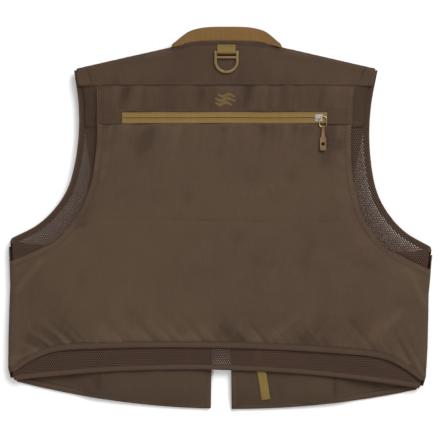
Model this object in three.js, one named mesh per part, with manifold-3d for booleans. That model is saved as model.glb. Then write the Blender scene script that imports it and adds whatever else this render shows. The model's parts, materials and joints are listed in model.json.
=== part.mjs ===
// A sleeveless fishing vest, lying on its front with its back up, empty and flat.
// Millimetres. +Z is up, +Y points to the collar, +X to the wearer's right side.
// The origin is under the middle of the vest, on the surface that it lies on.

import * as THREE from 'three';
import { mergeVertices } from 'three/addons/utils/BufferGeometryUtils.js';
import Module from 'manifold-3d';

const wasm = await Module();
wasm.setup();

// ---- Driving dimensions ----

const CLOTH = 0.8; // thickness of a shell, lining or mesh panel
const GAP = 0.3; // clearance between neighbouring pieces

// Heights of the layers above the surface, each the underside of its panel.
const FRONT_SHELL = 8.9;
const FRONT_LINING = 10.0;
const BACK_MESH = 19.0;
const BACK_SHELL = 22.1;
const BACK_TOP = BACK_SHELL + CLOTH;
const FOLD_RADIUS = (BACK_TOP - FRONT_SHELL) / 2; // outside of the folds at the sides and shoulders
const FOLD_MIDDLE = FRONT_SHELL + FOLD_RADIUS;

// The vest lies a little askew: it leans to +X towards the collar,
// and the lower half slopes down towards the right side.
const LEAN = 0.029;
const LEAN_FROM = -50;
const SLOPE = 0.02;
const SLOPE_STARTS = 150;
const SLOPE_FULL = -35;
const MIDDLE = [-0.45, 0.25]; // middle of the laid outline, which becomes the origin

// Edges of the symmetrical pattern, right half, anticlockwise.
const HEM_HALF_WIDTH = 288;
const SIDE = [[288, -233], [292.5, -216], [293.5, -170], [293, -100], [297, -35.5]];
const BACK_ARMHOLE = [
  [297, -35.5], [257.5, -14], [234, 9.5], [217.5, 37], [208.5, 70], [203.5, 116], [205, 160], [212.5, 209],
];
const FRONT_ARMHOLE = [
  [297, -36], [262, -42], [228, -41], [194, -26], [177, 7], [181.5, 46], [196, 123], [212.5, 209],
];
const POUCH_ARMHOLE = [
  [295, -66.5], [259, -50.5], [233.5, -37], [219.5, -24], [200, 3], [185, 43], [180, 72], [177.5, 116],
  [180, 186],
];
const POUCH_HEM = [
  [0, -181], [85, -182], [164, -185.5], [218, -189.5], [242, -195.5], [264, -207], [284, -221],
];
const NECK = [[77, 240], [60, 245.5], [40, 248.5], [0, 249.5]];
const COLLAR_BASE = [[0, 246], [40, 245], [60, 242.5], [73, 238]];
const COLLAR_EDGE = [[77, 240], [67, 251], [53, 261.5], [35, 266.5], [0, 268]];
const COLLAR_THICKNESS = 2.4;
const YOKE_SEAM = 186;
const FRONT_YOKE_DEPTH = 31; // how far the yoke reaches down the front below the shoulder
const HEM_AT_CENTRE = -212;
const HEM_FALL = 21; // the back hem falls this much towards the sides
const FRONT_HEM_AT_CENTRE = -267.3;
const FRONT_HEM_RISE = 34.3;
const FRONT_EDGE_TOP = 158;
const FRONT_GAP_TOP = 9; // half the gap between the two fronts
const FRONT_GAP_BOTTOM = 14.5;
const FRONT_GAP_MIDDLE = 1;

// Bindings: folded strips that hold the cut edges.
const BINDING_WALL = 0.6;
const CUT_EDGE = 1.8; // a panel's cut edge lies this far inside its binding
const ARMHOLE_BINDING = 8.5;
const POUCH_BINDING = 10;
const HEM_BINDING = 11;

// The zip of the back pouch.
const ZIP_MIDDLE = 140.3;
const ZIP_HALF_LENGTH = 143;
const ZIP_HALF_WIDTH = 8.1;
const ZIP_SLOT = 0.6; // half the gap between its two tapes
const COIL_WIDTH = 2.5;
const COIL_HEIGHT = 0.9;
const SLIDER_LENGTH = 10.6;
const SLIDER_WIDTH = 9.2;
const SLIDER_AT = 131.3;

// The ring for a landing net, and its webbing.
const WEBBING = 25.4;
const WEBBING_THICKNESS = 1;
const RING_BAR = [0, 231.8];
const RING_BAR_RADIUS = 1.7;
const RING_HALF_WIDTH = 17.2;
const RING_LEG = 4;
const RING_THICKNESS = 3.4;
const BAR_PLAY = 0.5; // between a bar and the webbing round it

// Pockets on the fronts: middle, size and the depth of the flap over the mouth.
const POCKETS = {
  chest: { middle: [95, 57], width: 104, height: 100, flap: 34 },
  lower: { middle: [98.5, -172], width: 133, height: 132, flap: 42 },
};
const POCKET_DEPTH = 8.6;
const POCKET_WALL = 1.2;
const FACE_TOP = 3.6; // inside of the pocket's face
const FLAP_RECESS = 2.8; // the face is set back this much under the flap
const FLAP_HINGE_Z = 8.4;

// The sternum buckle and its straps.
const BUCKLE_Y = 132;
const STRAP = 20;
const BUCKLE_BAR_X = 27;
const BUCKLE_BAR_RADIUS = 1.5;
const BUCKLE_THICKNESS = 4.4;

const FINISHES = {
  shell: { color: 0x544537, roughness: 0.85, metalness: 0 },
  mesh: { color: 0x483a33, roughness: 0.9, metalness: 0 },
  lining: { color: 0x50402f, roughness: 0.85, metalness: 0 },
  binding: { color: 0x4e3f33, roughness: 0.8, metalness: 0 },
  knit: { color: 0x80623b, roughness: 0.95, metalness: 0 },
  webbing: { color: 0x826d40, roughness: 0.8, metalness: 0 },
  tape: { color: 0x86703f, roughness: 0.75, metalness: 0 },
  coil: { color: 0x7a6438, roughness: 0.5, metalness: 0 },
  moulding: { color: 0x7a6544, roughness: 0.5, metalness: 0 },
  metal: { color: 0xc9c6c0, roughness: 0.3, metalness: 1 },
  print: { color: 0x6b5a34, roughness: 0.7, metalness: 0 },
  hook: { color: 0x3a3029, roughness: 0.95, metalness: 0 },
};

// ---- Outlines ----

/** Moves a point of the symmetrical pattern to where the laid vest has it. */
function lay([x, y]) {
  const low = THREE.MathUtils.smoothstep(-y, -SLOPE_STARTS, -SLOPE_FULL);
  const laid = new THREE.Vector2(x + LEAN * (y - LEAN_FROM), y - SLOPE * x * low);
  return laid.sub(new THREE.Vector2(...MIDDLE));
}

/** Evenly spaced points on a smooth curve through the given ones. */
function smooth(points, count) {
  const curve = new THREE.CatmullRomCurve3(points.map(([x, y]) => new THREE.Vector3(x, y, 0)));
  return curve.getSpacedPoints(count).map(({ x, y }) => [x, y]);
}

const mirror = (points) => points.map(([x, y]) => [-x, y]).reverse();

/** A closed outline from its right half, which starts on the middle line. */
const bothHalves = (right) => [...right, ...mirror(right).filter(([x]) => x < -0.001)];

/** Points moved to the left of their path, which is inwards on an anticlockwise outline. */
function inset(points, distance) {
  return points.map(([x, y], i) => {
    const [x0, y0] = points[Math.max(i - 1, 0)];
    const [x1, y1] = points[Math.min(i + 1, points.length - 1)];
    const length = Math.hypot(x1 - x0, y1 - y0);
    return [x - (distance * (y1 - y0)) / length, y + (distance * (x1 - x0)) / length];
  });
}

const backHem = (x) => HEM_AT_CENTRE - HEM_FALL * (x / HEM_HALF_WIDTH) ** 2;
const frontHem = (x) => FRONT_HEM_AT_CENTRE + FRONT_HEM_RISE * (x / HEM_HALF_WIDTH) ** 2;
const shoulderAt = (x) => 239.5 - 0.227 * (x - 78);

/** Points on a curve y = height(x), from one x to another. */
function along(height, from, to, count) {
  return Array.from({ length: count + 1 }, (_, i) => {
    const x = THREE.MathUtils.lerp(from, to, i / count);
    return [x, height(x)];
  });
}

/** x of a front's inner edge on the pattern's right side; the gap itself hangs straight. */
function frontEdge(y, side) {
  const down = THREE.MathUtils.inverseLerp(FRONT_EDGE_TOP, FRONT_HEM_AT_CENTRE, y);
  const gap = THREE.MathUtils.lerp(FRONT_GAP_TOP, FRONT_GAP_BOTTOM, down);
  return gap + side * (FRONT_GAP_MIDDLE - LEAN * (y - LEAN_FROM));
}

const between = (points, low, high, widest = Infinity) => (
  points.filter(([x, y]) => y >= low && y <= high && x <= widest)
);
const sided = (points, side) => (side > 0 ? points : mirror(points));

// ---- Solids ----

/** A flat panel of the pattern. */
function panel(points, bottom, thickness = CLOTH) {
  const shape = new THREE.Shape(points.map(lay));
  return new THREE.ExtrudeGeometry(shape, { depth: thickness, bevelEnabled: false }).translate(0, 0, bottom);
}

/** Sweeps a section along a path. The section's points are [inwards, up] from the path. */
function sweep(path, section, height, steps) {
  const points = path.map((p) => new THREE.Vector3(...lay(p).toArray(), height));
  const shape = new THREE.Shape(section.map(([inwards, up]) => new THREE.Vector2(-up, inwards)));
  return new THREE.ExtrudeGeometry(shape, { steps, extrudePath: new THREE.CatmullRomCurve3(points) });
}

/** A strip folded round the edge of a layer of cloth. */
function binding(path, width, bottom, cloth, steps) {
  const slot = cloth / 2 + GAP;
  const outside = slot + BINDING_WALL;
  const section = [
    [0, -outside], [width, -outside], [width, -slot], [BINDING_WALL, -slot],
    [BINDING_WALL, slot], [width, slot], [width, outside], [0, outside],
  ];
  return sweep(path, section, bottom + cloth / 2, steps);
}

/** The half-round fold that joins the front to the back along an edge. */
function fold(path, steps) {
  const arc = (radius) => Array.from({ length: 9 }, (_, i) => {
    const angle = Math.PI / 2 + (Math.PI * i) / 8;
    return [FOLD_RADIUS + radius * Math.cos(angle), radius * Math.sin(angle)];
  });
  const outer = [[FOLD_RADIUS + 1, FOLD_RADIUS], ...arc(FOLD_RADIUS), [FOLD_RADIUS + 1, -FOLD_RADIUS]];
  const wall = FOLD_RADIUS - CLOTH;
  const inner = [[FOLD_RADIUS + 1, wall], ...arc(wall), [FOLD_RADIUS + 1, -wall]];
  return sweep(path, [...outer, ...inner.reverse()], FOLD_MIDDLE, steps);
}

/** A box from its lowest corner to its highest. */
function box([x0, y0, z0], [x1, y1, z1]) {
  return new THREE.BoxGeometry(x1 - x0, y1 - y0, z1 - z0)
    .translate((x0 + x1) / 2, (y0 + y1) / 2, (z0 + z1) / 2);
}

function solid(geometry) {
  const bare = geometry.clone();
  bare.deleteAttribute('normal');
  bare.deleteAttribute('uv');
  const merged = mergeVertices(bare, 1e-4);
  const vertProperties = Float32Array.from(merged.attributes.position.array);
  const triVerts = Uint32Array.from(merged.index.array);
  return new wasm.Manifold(new wasm.Mesh({ numProp: 3, vertProperties, triVerts }));
}

function geometryOf(manifold) {
  const { vertProperties, triVerts } = manifold.getMesh();
  const geometry = new THREE.BufferGeometry();
  geometry.setAttribute('position', new THREE.BufferAttribute(vertProperties, 3));
  return geometry.setIndex(new THREE.BufferAttribute(triVerts, 1));
}

const join = (...geometries) => geometryOf(geometries.map(solid).reduce((a, b) => a.add(b)));
const cut = (geometry, ...tools) => (
  geometryOf(tools.map(solid).reduce((a, b) => a.subtract(b), solid(geometry)))
);

/**
 * Webbing sewn down flat and looped round a bar, as a section in [along, up] extruded by its width.
 * The bar's middle is at along = 0.
 */
function webbingLoop(barRadius, tail, width) {
  const hole = barRadius + BAR_PLAY;
  const outer = hole + WEBBING_THICKNESS;
  const doubled = 2 * WEBBING_THICKNESS;
  const shape = new THREE.Shape();
  shape.moveTo(tail, 0);
  shape.lineTo(tail, doubled);
  shape.lineTo(2 * outer, doubled);
  shape.lineTo(0, 2 * outer);
  shape.absarc(0, outer, outer, Math.PI / 2, (3 * Math.PI) / 2, false);
  const window = new THREE.Path();
  window.absarc(0, outer, hole, 0, 2 * Math.PI, false);
  shape.holes.push(window);
  return new THREE.ExtrudeGeometry(shape, { depth: width, bevelEnabled: false, curveSegments: 10 })
    .translate(0, 0, -width / 2);
}

/** A round bar along X. */
function bar(radius, length) {
  return new THREE.CylinderGeometry(radius, radius, length, 16).rotateZ(Math.PI / 2);
}

// ---- Assembly ----

const vest = new THREE.Group();

function add(name, finish, geometry, position = [0, 0, 0]) {
  const mesh = new THREE.Mesh(geometry, new THREE.MeshStandardMaterial(FINISHES[finish]));
  mesh.name = name;
  mesh.position.set(...position);
  vest.add(mesh);
}

/** A place on the laid vest, at a height. */
const at = (point, z = 0) => [...lay(point).toArray(), z];

const SIDES = [['right', 1], ['left', -1]];
const SEAM_CLEAR = FOLD_RADIUS + 1 + GAP; // panels stop here, short of the folds
const FRONT_CLOTH = FRONT_LINING + CLOTH - FRONT_SHELL;
const sideLine = smooth(SIDE, 8);
const backArmhole = smooth(BACK_ARMHOLE, 22);
const frontArmhole = smooth(FRONT_ARMHOLE, 24);
const pouchArmhole = smooth(POUCH_ARMHOLE, 22);
const pouchHem = smooth(POUCH_HEM, 14);
const zipTop = ZIP_MIDDLE + ZIP_HALF_WIDTH;
const zipBottom = ZIP_MIDDLE - ZIP_HALF_WIDTH;

/** The back's mesh body, with the gathered strip and the pouch panel over it. */
function addBackPanels() {
  const seam = inset(sideLine, SEAM_CLEAR);
  add('back_mesh_body', 'mesh', panel(bothHalves([
    ...inset(along(backHem, 0, HEM_HALF_WIDTH - 10, 8), CUT_EDGE),
    ...between(seam, -222, -50),
    [279, -46],
    ...between(inset(backArmhole, CUT_EDGE), -40, YOKE_SEAM - 1, 272),
    [207, YOKE_SEAM],
  ]), BACK_MESH));

  const stripEdge = between(inset(pouchArmhole, CUT_EDGE), zipTop + 2 * GAP, YOKE_SEAM - 1);
  add('back_strip', 'shell', panel(bothHalves([
    [0, zipTop + GAP], [stripEdge[0][0], zipTop + GAP], ...stripEdge, [stripEdge.at(-1)[0], YOKE_SEAM],
  ]), BACK_SHELL));

  const pouchEdge = between(inset(pouchArmhole, CUT_EDGE), -64, zipBottom - 1);
  add('back_pouch_panel', 'shell', panel(bothHalves([
    ...between(inset(pouchHem, CUT_EDGE), -212, 0),
    ...between(seam, -210, -70),
    ...pouchEdge,
    [pouchEdge.at(-1)[0], zipBottom - GAP],
  ]), BACK_SHELL));
}

/** The yoke: over the back, round the shoulders and a little down the front. */
function addYoke() {
  const edge = between(inset(backArmhole, ARMHOLE_BINDING + GAP), YOKE_SEAM + 4, 199);
  const [outer, inner] = [202, 80];
  const foldInside = FOLD_RADIUS + 0.5;
  const foldEnd = FOLD_RADIUS + 1.6; // measured down the pattern, so a little longer than the fold itself
  const shoulder = (x, down) => [x, shoulderAt(x) - down];
  add('yoke', 'shell', panel(bothHalves([
    [0, YOKE_SEAM + GAP], [edge[0][0], YOKE_SEAM + GAP], ...edge,
    shoulder(outer, foldEnd), shoulder(inner - 2.5, foldEnd), ...smooth(NECK, 5),
  ]), BACK_SHELL));
  for (const [name, side] of SIDES) {
    add(`shoulder_${name}`, 'shell', join(
      fold(sided([shoulder(outer, 0), shoulder(141, 0), shoulder(inner, 0)], side), 4),
      panel(sided([
        shoulder(200, FRONT_YOKE_DEPTH), shoulder(outer, foldInside),
        shoulder(inner, foldInside), shoulder(72, FRONT_YOKE_DEPTH),
      ], side), FRONT_SHELL),
    ));
  }
  add('yoke_lining', 'lining', panel(bothHalves([
    [0, YOKE_SEAM + 2], ...between(inset(backArmhole, CUT_EDGE), YOKE_SEAM + 2, 198),
    shoulder(200, SEAM_CLEAR), shoulder(84, SEAM_CLEAR), [70, 230], [0, 241],
  ]), BACK_MESH));
}

/** Folded strips round the armholes, hems and front edges, and the folds at the sides. */
function addBindings() {
  const low = FRONT_SHELL - GAP - BINDING_WALL;
  const high = BACK_MESH + CLOTH + GAP + BINDING_WALL;
  for (const [name, side] of SIDES) {
    const post = (points) => panel(sided(points, side), low, high - low);
    add(`armhole_binding_${name}`, 'binding', join(
      binding(sided(backArmhole.slice(1), side), ARMHOLE_BINDING, BACK_MESH, CLOTH, 20),
      binding(sided(frontArmhole.slice(1), side), ARMHOLE_BINDING, FRONT_SHELL, FRONT_CLOTH, 22),
      post([[206.5, 204], [211.5, 204], [212, 208.5], [206.5, 209.5]]),
      post([[281, -41], [296, -41], [296.5, -36], [281, -30]]),
    ));
    add(`pouch_armhole_binding_${name}`, 'binding', binding(
      sided(between(pouchArmhole, -62, YOKE_SEAM - 1), side), POUCH_BINDING, BACK_SHELL, CLOTH, 20,
    ));
    const hemStart = frontEdge(FRONT_HEM_AT_CENTRE, side) + HEM_BINDING + 1;
    add(`front_hem_binding_${name}`, 'binding', binding(
      sided(along(frontHem, hemStart, HEM_HALF_WIDTH - 10, 10), side),
      HEM_BINDING, FRONT_SHELL, FRONT_CLOTH, 10,
    ));
    const edge = [FRONT_EDGE_TOP - 1, 0, FRONT_HEM_AT_CENTRE + 0.5].map((y) => [frontEdge(y, side), y]);
    add(`front_edge_binding_${name}`, 'binding', binding(
      sided(edge, side), HEM_BINDING, FRONT_SHELL, FRONT_CLOTH, 4,
    ));
    add(`side_panel_${name}`, 'shell', fold(sided(between(sideLine, -219, -50), side), 8));
  }
  const hemRight = pouchHem.filter(([x]) => x < 274);
  add('pouch_hem_binding', 'binding', binding(
    [...mirror(hemRight).slice(0, -1), ...hemRight], POUCH_BINDING, BACK_SHELL, CLOTH, 28,
  ));
  add('back_hem_binding', 'binding', binding(
    along(backHem, 10 - HEM_HALF_WIDTH, HEM_HALF_WIDTH - 10, 16), HEM_BINDING, BACK_MESH, CLOTH, 16,
  ));
}

/** The knitted collar: one band, whose back half lies over its two front halves. */
function addCollar() {
  const bottom = BACK_MESH - 0.4;
  const frontHalf = (side) => {
    const edge = frontEdge(FRONT_EDGE_TOP, side) + 2;
    return [
      [edge, 161], [35, 176], [57, 206], [73, 236], [70, 247], [60, 247], [44, 222], [24, 196], [edge, 182],
    ];
  };
  const turn = [[64, 240], [73, 238.5], [76, 241], [66, 248]];
  add('collar', 'knit', join(
    panel(bothHalves([...smooth(COLLAR_BASE, 5), ...smooth(COLLAR_EDGE, 8)]), bottom, COLLAR_THICKNESS),
    ...SIDES.flatMap(([, side]) => [
      panel(sided(frontHalf(side), side), FRONT_SHELL, COLLAR_THICKNESS),
      panel(sided(turn, side), FRONT_SHELL, bottom + COLLAR_THICKNESS - FRONT_SHELL),
    ]),
  ));
}

/** The two fronts: shell outside, lining towards the wearer. */
function addFronts() {
  const seam = inset(sideLine, SEAM_CLEAR);
  for (const [name, side] of SIDES) {
    const edgeX = (y) => frontEdge(y, side) + CUT_EDGE;
    const hem = inset(along(frontHem, edgeX(FRONT_HEM_AT_CENTRE), HEM_HALF_WIDTH - 10, 8), CUT_EDGE);
    const outline = (top) => sided([
      ...hem,
      ...between(seam, -222, -52),
      [279, -50],
      ...between(inset(frontArmhole, CUT_EDGE), -48, top, 270),
      [200, shoulderAt(200) - (top > 190 ? SEAM_CLEAR : FRONT_YOKE_DEPTH + GAP)],
      [84, shoulderAt(84) - (top > 190 ? SEAM_CLEAR : FRONT_YOKE_DEPTH + GAP)],
      [66, 208], [62, 203], [38, 172], [edgeX(FRONT_EDGE_TOP) + 0.5, FRONT_EDGE_TOP - 1.5],
    ], side);
    add(`front_shell_${name}`, 'shell', panel(outline(176), FRONT_SHELL));
    add(`front_lining_${name}`, 'lining', panel(outline(196), FRONT_LINING));
  }
  const strip = [[48, -146], [55, -185], [62.5, -216], [70, -251.5]];
  const half = 6.6;
  add('inner_webbing_strip', 'webbing', panel([
    ...strip.map(([x, y]) => [x - half, y]), ...strip.map(([x, y]) => [x + half, y]).reverse(),
  ], FRONT_LINING + CLOTH + GAP, WEBBING_THICKNESS));
}

/** The zip that opens the back pouch: reverse coil, smooth tapes outwards. */
function addZip() {
  const middle = at([0, ZIP_MIDDLE]);
  const coilBottom = BACK_SHELL - GAP - COIL_HEIGHT;
  for (const [name, side] of [['upper', 1], ['lower', -1]]) {
    const rows = (near, far) => [Math.min(side * near, side * far), Math.max(side * near, side * far)];
    const [tapeLow, tapeHigh] = rows(ZIP_SLOT, ZIP_HALF_WIDTH);
    add(`zip_tape_${name}`, 'tape', box(
      [-ZIP_HALF_LENGTH, tapeLow, BACK_SHELL], [ZIP_HALF_LENGTH, tapeHigh, BACK_TOP],
    ), middle);
    const [coilLow, coilHigh] = rows(ZIP_SLOT, ZIP_SLOT + COIL_WIDTH);
    add(`zip_coil_${name}`, 'coil', box(
      [3 - ZIP_HALF_LENGTH, coilLow, coilBottom], [ZIP_HALF_LENGTH - 3, coilHigh, coilBottom + COIL_HEIGHT],
    ), middle);
  }
  for (const [name, side] of SIDES) {
    const patch = [[144, zipBottom], [176.2, zipBottom], [176.2, zipTop], [144, zipTop]];
    add(`zip_end_patch_${name}`, 'shell', panel(sided(patch, side), BACK_SHELL));
    add(`zip_stop_${name}`, 'metal', box([-1, -1.6, 0], [1, 1.6, 0.7]),
      at([side * (ZIP_HALF_LENGTH - 2), ZIP_MIDDLE], BACK_TOP + GAP));
  }
}

// The slider's heights, and its ring round the right post of its bridge.
const SLIDER_PLATE_TOP = BACK_TOP + 1.1;
const BRIDGE_POST_X = 3.5;
const BRIDGE_CLEAR = 1.9;
const RING_WIRE = 1.2;
const PULL_RING = { x: 6.1, top: 1.8, width: 9.8, length: 14.8, corner: 2 };
const PULL_Z = SLIDER_PLATE_TOP + BRIDGE_CLEAR / 2;

function addSlider() {
  const under = BACK_MESH + CLOTH + GAP;
  const [halfLength, halfWidth] = [SLIDER_LENGTH / 2, SLIDER_WIDTH / 2];
  const flange = (y) => box([-halfLength, y - 0.35, under], [halfLength, y + 0.35, BACK_SHELL - GAP]);
  const post = (x) => new THREE.CylinderGeometry(0.6, 0.6, BRIDGE_CLEAR + 1, 12)
    .rotateX(Math.PI / 2).translate(x, 0, SLIDER_PLATE_TOP + BRIDGE_CLEAR / 2);
  const bridgeTop = SLIDER_PLATE_TOP + BRIDGE_CLEAR;
  add('zip_slider', 'metal', join(
    box([-halfLength, -halfWidth, under], [halfLength, halfWidth, under + 0.5]),
    flange(halfWidth - 0.35),
    flange(0.35 - halfWidth),
    box([2, -0.35, under], [4.6, 0.35, SLIDER_PLATE_TOP]),
    box([-halfLength, -halfWidth, BACK_TOP + GAP], [halfLength, halfWidth, SLIDER_PLATE_TOP]),
    post(BRIDGE_POST_X),
    post(-BRIDGE_POST_X),
    box([-4.2, -0.8, bridgeTop], [4.2, 0.8, bridgeTop + 0.8]),
  ), at([SLIDER_AT, ZIP_MIDDLE]));
}

/** A rectangle with round corners, [x, y] being its middle. */
function roundedOutline(Kind, x, y, width, height, radius) {
  const [right, top] = [x + width / 2 - radius, y + height / 2 - radius];
  const [left, bottom] = [x - width / 2 + radius, y - height / 2 + radius];
  const outline = new Kind();
  outline.absarc(right, top, radius, 0, Math.PI / 2);
  outline.absarc(left, top, radius, Math.PI / 2, Math.PI);
  outline.absarc(left, bottom, radius, Math.PI, 1.5 * Math.PI);
  outline.absarc(right, bottom, radius, 1.5 * Math.PI, 2 * Math.PI);
  return outline;
}

const flat = (shape, bottom, thickness, curveSegments = 6) => (
  new THREE.ExtrudeGeometry(shape, { depth: thickness, bevelEnabled: false, curveSegments })
    .translate(0, 0, bottom)
);

function addPull() {
  const { x, top, width, length, corner } = PULL_RING;
  const place = at([SLIDER_AT, ZIP_MIDDLE]);
  const middle = top - length / 2;
  const outline = (kind, grow) => (
    roundedOutline(kind, x, middle, width + grow, length + grow, corner + grow / 2)
  );
  const ring = outline(THREE.Shape, RING_WIRE);
  ring.holes.push(outline(THREE.Path, -RING_WIRE));
  add('zip_pull_ring', 'metal', flat(ring, PULL_Z - RING_WIRE / 2, RING_WIRE), place);

  const head = 1.7;
  const wireHole = 1;
  const tab = new THREE.Shape();
  tab.moveTo(-1.7, -1);
  tab.bezierCurveTo(-1.7, -10, -2, -12, -4.2, -16);
  tab.lineTo(-4.2, -30);
  tab.absarc(-2.2, -30.5, 2, Math.PI, 1.5 * Math.PI);
  tab.absarc(2.2, -30.5, 2, 1.5 * Math.PI, 2 * Math.PI);
  tab.lineTo(4.2, -16);
  tab.bezierCurveTo(2, -12, 1.7, -10, 1.7, -1);
  tab.holes.push(roundedOutline(THREE.Path, 0, -23.6, 5, 4.6, 1.2));
  add('zip_pull_tab', 'moulding', cut(
    join(flat(tab, -1, 2), bar(head, 4.4)),
    bar(wireHole, 6),
  ), [place[0] + x, place[1] + top - length, PULL_Z]);
}

/** The ring that a landing net hangs from, in its tab of webbing. */
function addNetRing() {
  const hole = RING_BAR_RADIUS + BAR_PLAY;
  const place = at(RING_BAR, BACK_TOP + GAP);
  const asTab = new THREE.Matrix4().makeBasis(
    new THREE.Vector3(0, 1, 0), new THREE.Vector3(0, 0, 1), new THREE.Vector3(1, 0, 0),
  );
  add('net_ring_webbing', 'webbing', webbingLoop(RING_BAR_RADIUS, 10.5, WEBBING).applyMatrix4(asTab), place);

  const arcY = -12.6;
  const inside = RING_HALF_WIDTH - RING_LEG;
  const frame = new THREE.Shape();
  frame.moveTo(-RING_HALF_WIDTH, 1.9);
  frame.absarc(0, arcY, RING_HALF_WIDTH, Math.PI, 2 * Math.PI, false);
  frame.lineTo(RING_HALF_WIDTH, 1.9);
  frame.lineTo(inside, 1.9);
  frame.lineTo(inside, -5.8);
  frame.lineTo(-inside, -5.8);
  frame.lineTo(-inside, 1.9);
  const window = new THREE.Path();
  window.moveTo(inside, -9.1);
  window.lineTo(-inside, -9.1);
  window.absarc(0, arcY, inside, Math.PI, 2 * Math.PI, false);
  frame.holes.push(window);
  add('net_ring', 'moulding', join(
    flat(frame, -RING_THICKNESS / 2, RING_THICKNESS, 12),
    bar(RING_BAR_RADIUS, 2 * RING_HALF_WIDTH - 1),
  ), [place[0], place[1], place[2] + hole + WEBBING_THICKNESS]);
}

function addEmblem() {
  const oval = new THREE.Shape();
  oval.absellipse(0, 0, 18, 11, 0, 2 * Math.PI);
  add('back_emblem', 'print', flat(oval, 0, 0.3), at([0, 166], BACK_TOP + GAP));
}

/** Bellows pockets on the outside of the fronts, each open at its top, under a flap. */
function addPockets() {
  for (const [kind, { middle, width, height, flap }] of Object.entries(POCKETS)) {
    for (const [name, side] of SIDES) {
      const place = at([side * middle[0], middle[1]]);
      const [x, y] = [width / 2, height / 2];
      add(`${kind}_pocket_${name}`, 'shell', cut(
        box([-x, -y, 0], [x, y, POCKET_DEPTH]),
        box([POCKET_WALL - x, POCKET_WALL - y, FACE_TOP], [x - POCKET_WALL, y + 1, POCKET_DEPTH + 1]),
        box([-x - 1, y - flap, -1], [x + 1, y + 1, FLAP_RECESS]),
      ), place);
      add(`${kind}_pocket_flap_${name}`, 'shell', join(
        box([-x, y - flap + 2, GAP], [x, y + 1.4, GAP + CLOTH]),
        box([-x, y + 0.6, GAP], [x, y + 1.4, FLAP_HINGE_Z]),
      ), place);
      const patch = (bottom) => box([-18, y - flap + 6, bottom], [18, y - flap + 18, bottom + 0.4]);
      add(`${kind}_flap_hook_${name}`, 'hook', patch(1.3), place);
      add(`${kind}_pocket_loop_${name}`, 'hook', patch(2.1), place);
    }
  }
}

/** The sternum buckle, with a strap sewn to each front. */
function addBuckle() {
  const strapTop = FRONT_SHELL - GAP;
  const z = strapTop - BUCKLE_BAR_RADIUS - BAR_PLAY - WEBBING_THICKNESS;
  const place = [FRONT_GAP_MIDDLE, BUCKLE_Y, z];
  const half = BUCKLE_THICKNESS / 2;
  const [outer, inner] = [14, 11.3];
  for (const [name, side, tail] of [['right', 1, 42], ['left', -1, 24]]) {
    const asStrap = new THREE.Matrix4().makeBasis(
      new THREE.Vector3(side, 0, 0), new THREE.Vector3(0, 0, -1), new THREE.Vector3(0, side, 0),
    );
    add(`sternum_strap_${name}`, 'webbing',
      webbingLoop(BUCKLE_BAR_RADIUS, tail, STRAP).applyMatrix4(asStrap),
      [FRONT_GAP_MIDDLE + side * BUCKLE_BAR_X, BUCKLE_Y, strapTop]);
  }
  const end = (side, from) => [
    ...[-1, 1].map((edge) => {
      const rows = [edge * inner, edge * outer].sort((a, b) => a - b);
      const columns = [side * from, side * (BUCKLE_BAR_X + 1.2)].sort((a, b) => a - b);
      return box([columns[0], rows[0], -1.5], [columns[1], rows[1], 1.5]);
    }),
    new THREE.CylinderGeometry(BUCKLE_BAR_RADIUS, BUCKLE_BAR_RADIUS, 2 * outer - 2, 16)
      .translate(side * BUCKLE_BAR_X, 0, 0),
  ];
  add('buckle_socket', 'moulding', cut(
    join(box([-20, -outer, -half], [4, outer, half]), ...end(-1, 19)),
    box([-14, -11, -1.2], [5, 11, 1.2]),
  ), place);
  const prong = (y) => box([-12, y - 1.7, -0.9], [6, y + 1.7, 0.9]);
  add('buckle_plug', 'moulding', join(
    box([4.6, -outer, -half], [20, outer, half]), ...end(1, 19), prong(0), prong(-8.6), prong(8.6),
  ), place);
}

addBackPanels();
addYoke();
addBindings();
addCollar();
addFronts();
addZip();
addSlider();
addPull();
addNetRing();
addEmblem();
addPockets();
addBuckle();

export default vest;
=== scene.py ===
"""A fishing vest lying on its front, back up: cloth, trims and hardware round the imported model.

Outlines and sizes are in millimetres, in the vest's symmetrical pattern: x across, y towards
the collar. lay() puts a pattern point where the laid vest has it, and meshes are in metres.
"""

import json
import math

import bmesh
import bpy
import numpy as np
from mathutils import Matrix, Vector, geometry
from mathutils.bvhtree import BVHTree

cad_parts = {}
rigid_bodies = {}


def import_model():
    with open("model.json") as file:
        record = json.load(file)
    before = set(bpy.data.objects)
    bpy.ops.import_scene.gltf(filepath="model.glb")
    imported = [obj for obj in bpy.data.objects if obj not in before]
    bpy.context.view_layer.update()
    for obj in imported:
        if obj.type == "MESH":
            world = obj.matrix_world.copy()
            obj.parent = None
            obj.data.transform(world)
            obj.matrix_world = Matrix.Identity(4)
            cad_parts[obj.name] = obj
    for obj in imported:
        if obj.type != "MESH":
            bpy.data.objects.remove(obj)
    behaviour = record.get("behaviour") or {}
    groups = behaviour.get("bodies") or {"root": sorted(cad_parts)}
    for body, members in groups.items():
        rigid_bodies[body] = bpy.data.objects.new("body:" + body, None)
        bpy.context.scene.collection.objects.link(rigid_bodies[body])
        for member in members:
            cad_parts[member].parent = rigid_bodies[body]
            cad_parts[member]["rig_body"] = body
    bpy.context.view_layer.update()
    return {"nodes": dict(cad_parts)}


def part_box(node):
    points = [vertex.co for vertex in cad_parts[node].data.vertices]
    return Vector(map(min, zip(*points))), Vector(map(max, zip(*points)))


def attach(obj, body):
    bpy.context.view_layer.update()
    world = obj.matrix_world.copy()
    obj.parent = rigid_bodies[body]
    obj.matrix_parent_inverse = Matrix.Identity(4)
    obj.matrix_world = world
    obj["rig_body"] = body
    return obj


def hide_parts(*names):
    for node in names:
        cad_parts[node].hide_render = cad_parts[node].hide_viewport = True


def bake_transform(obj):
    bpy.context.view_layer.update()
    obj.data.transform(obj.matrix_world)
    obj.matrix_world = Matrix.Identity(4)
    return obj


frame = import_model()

MM = 0.001

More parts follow.
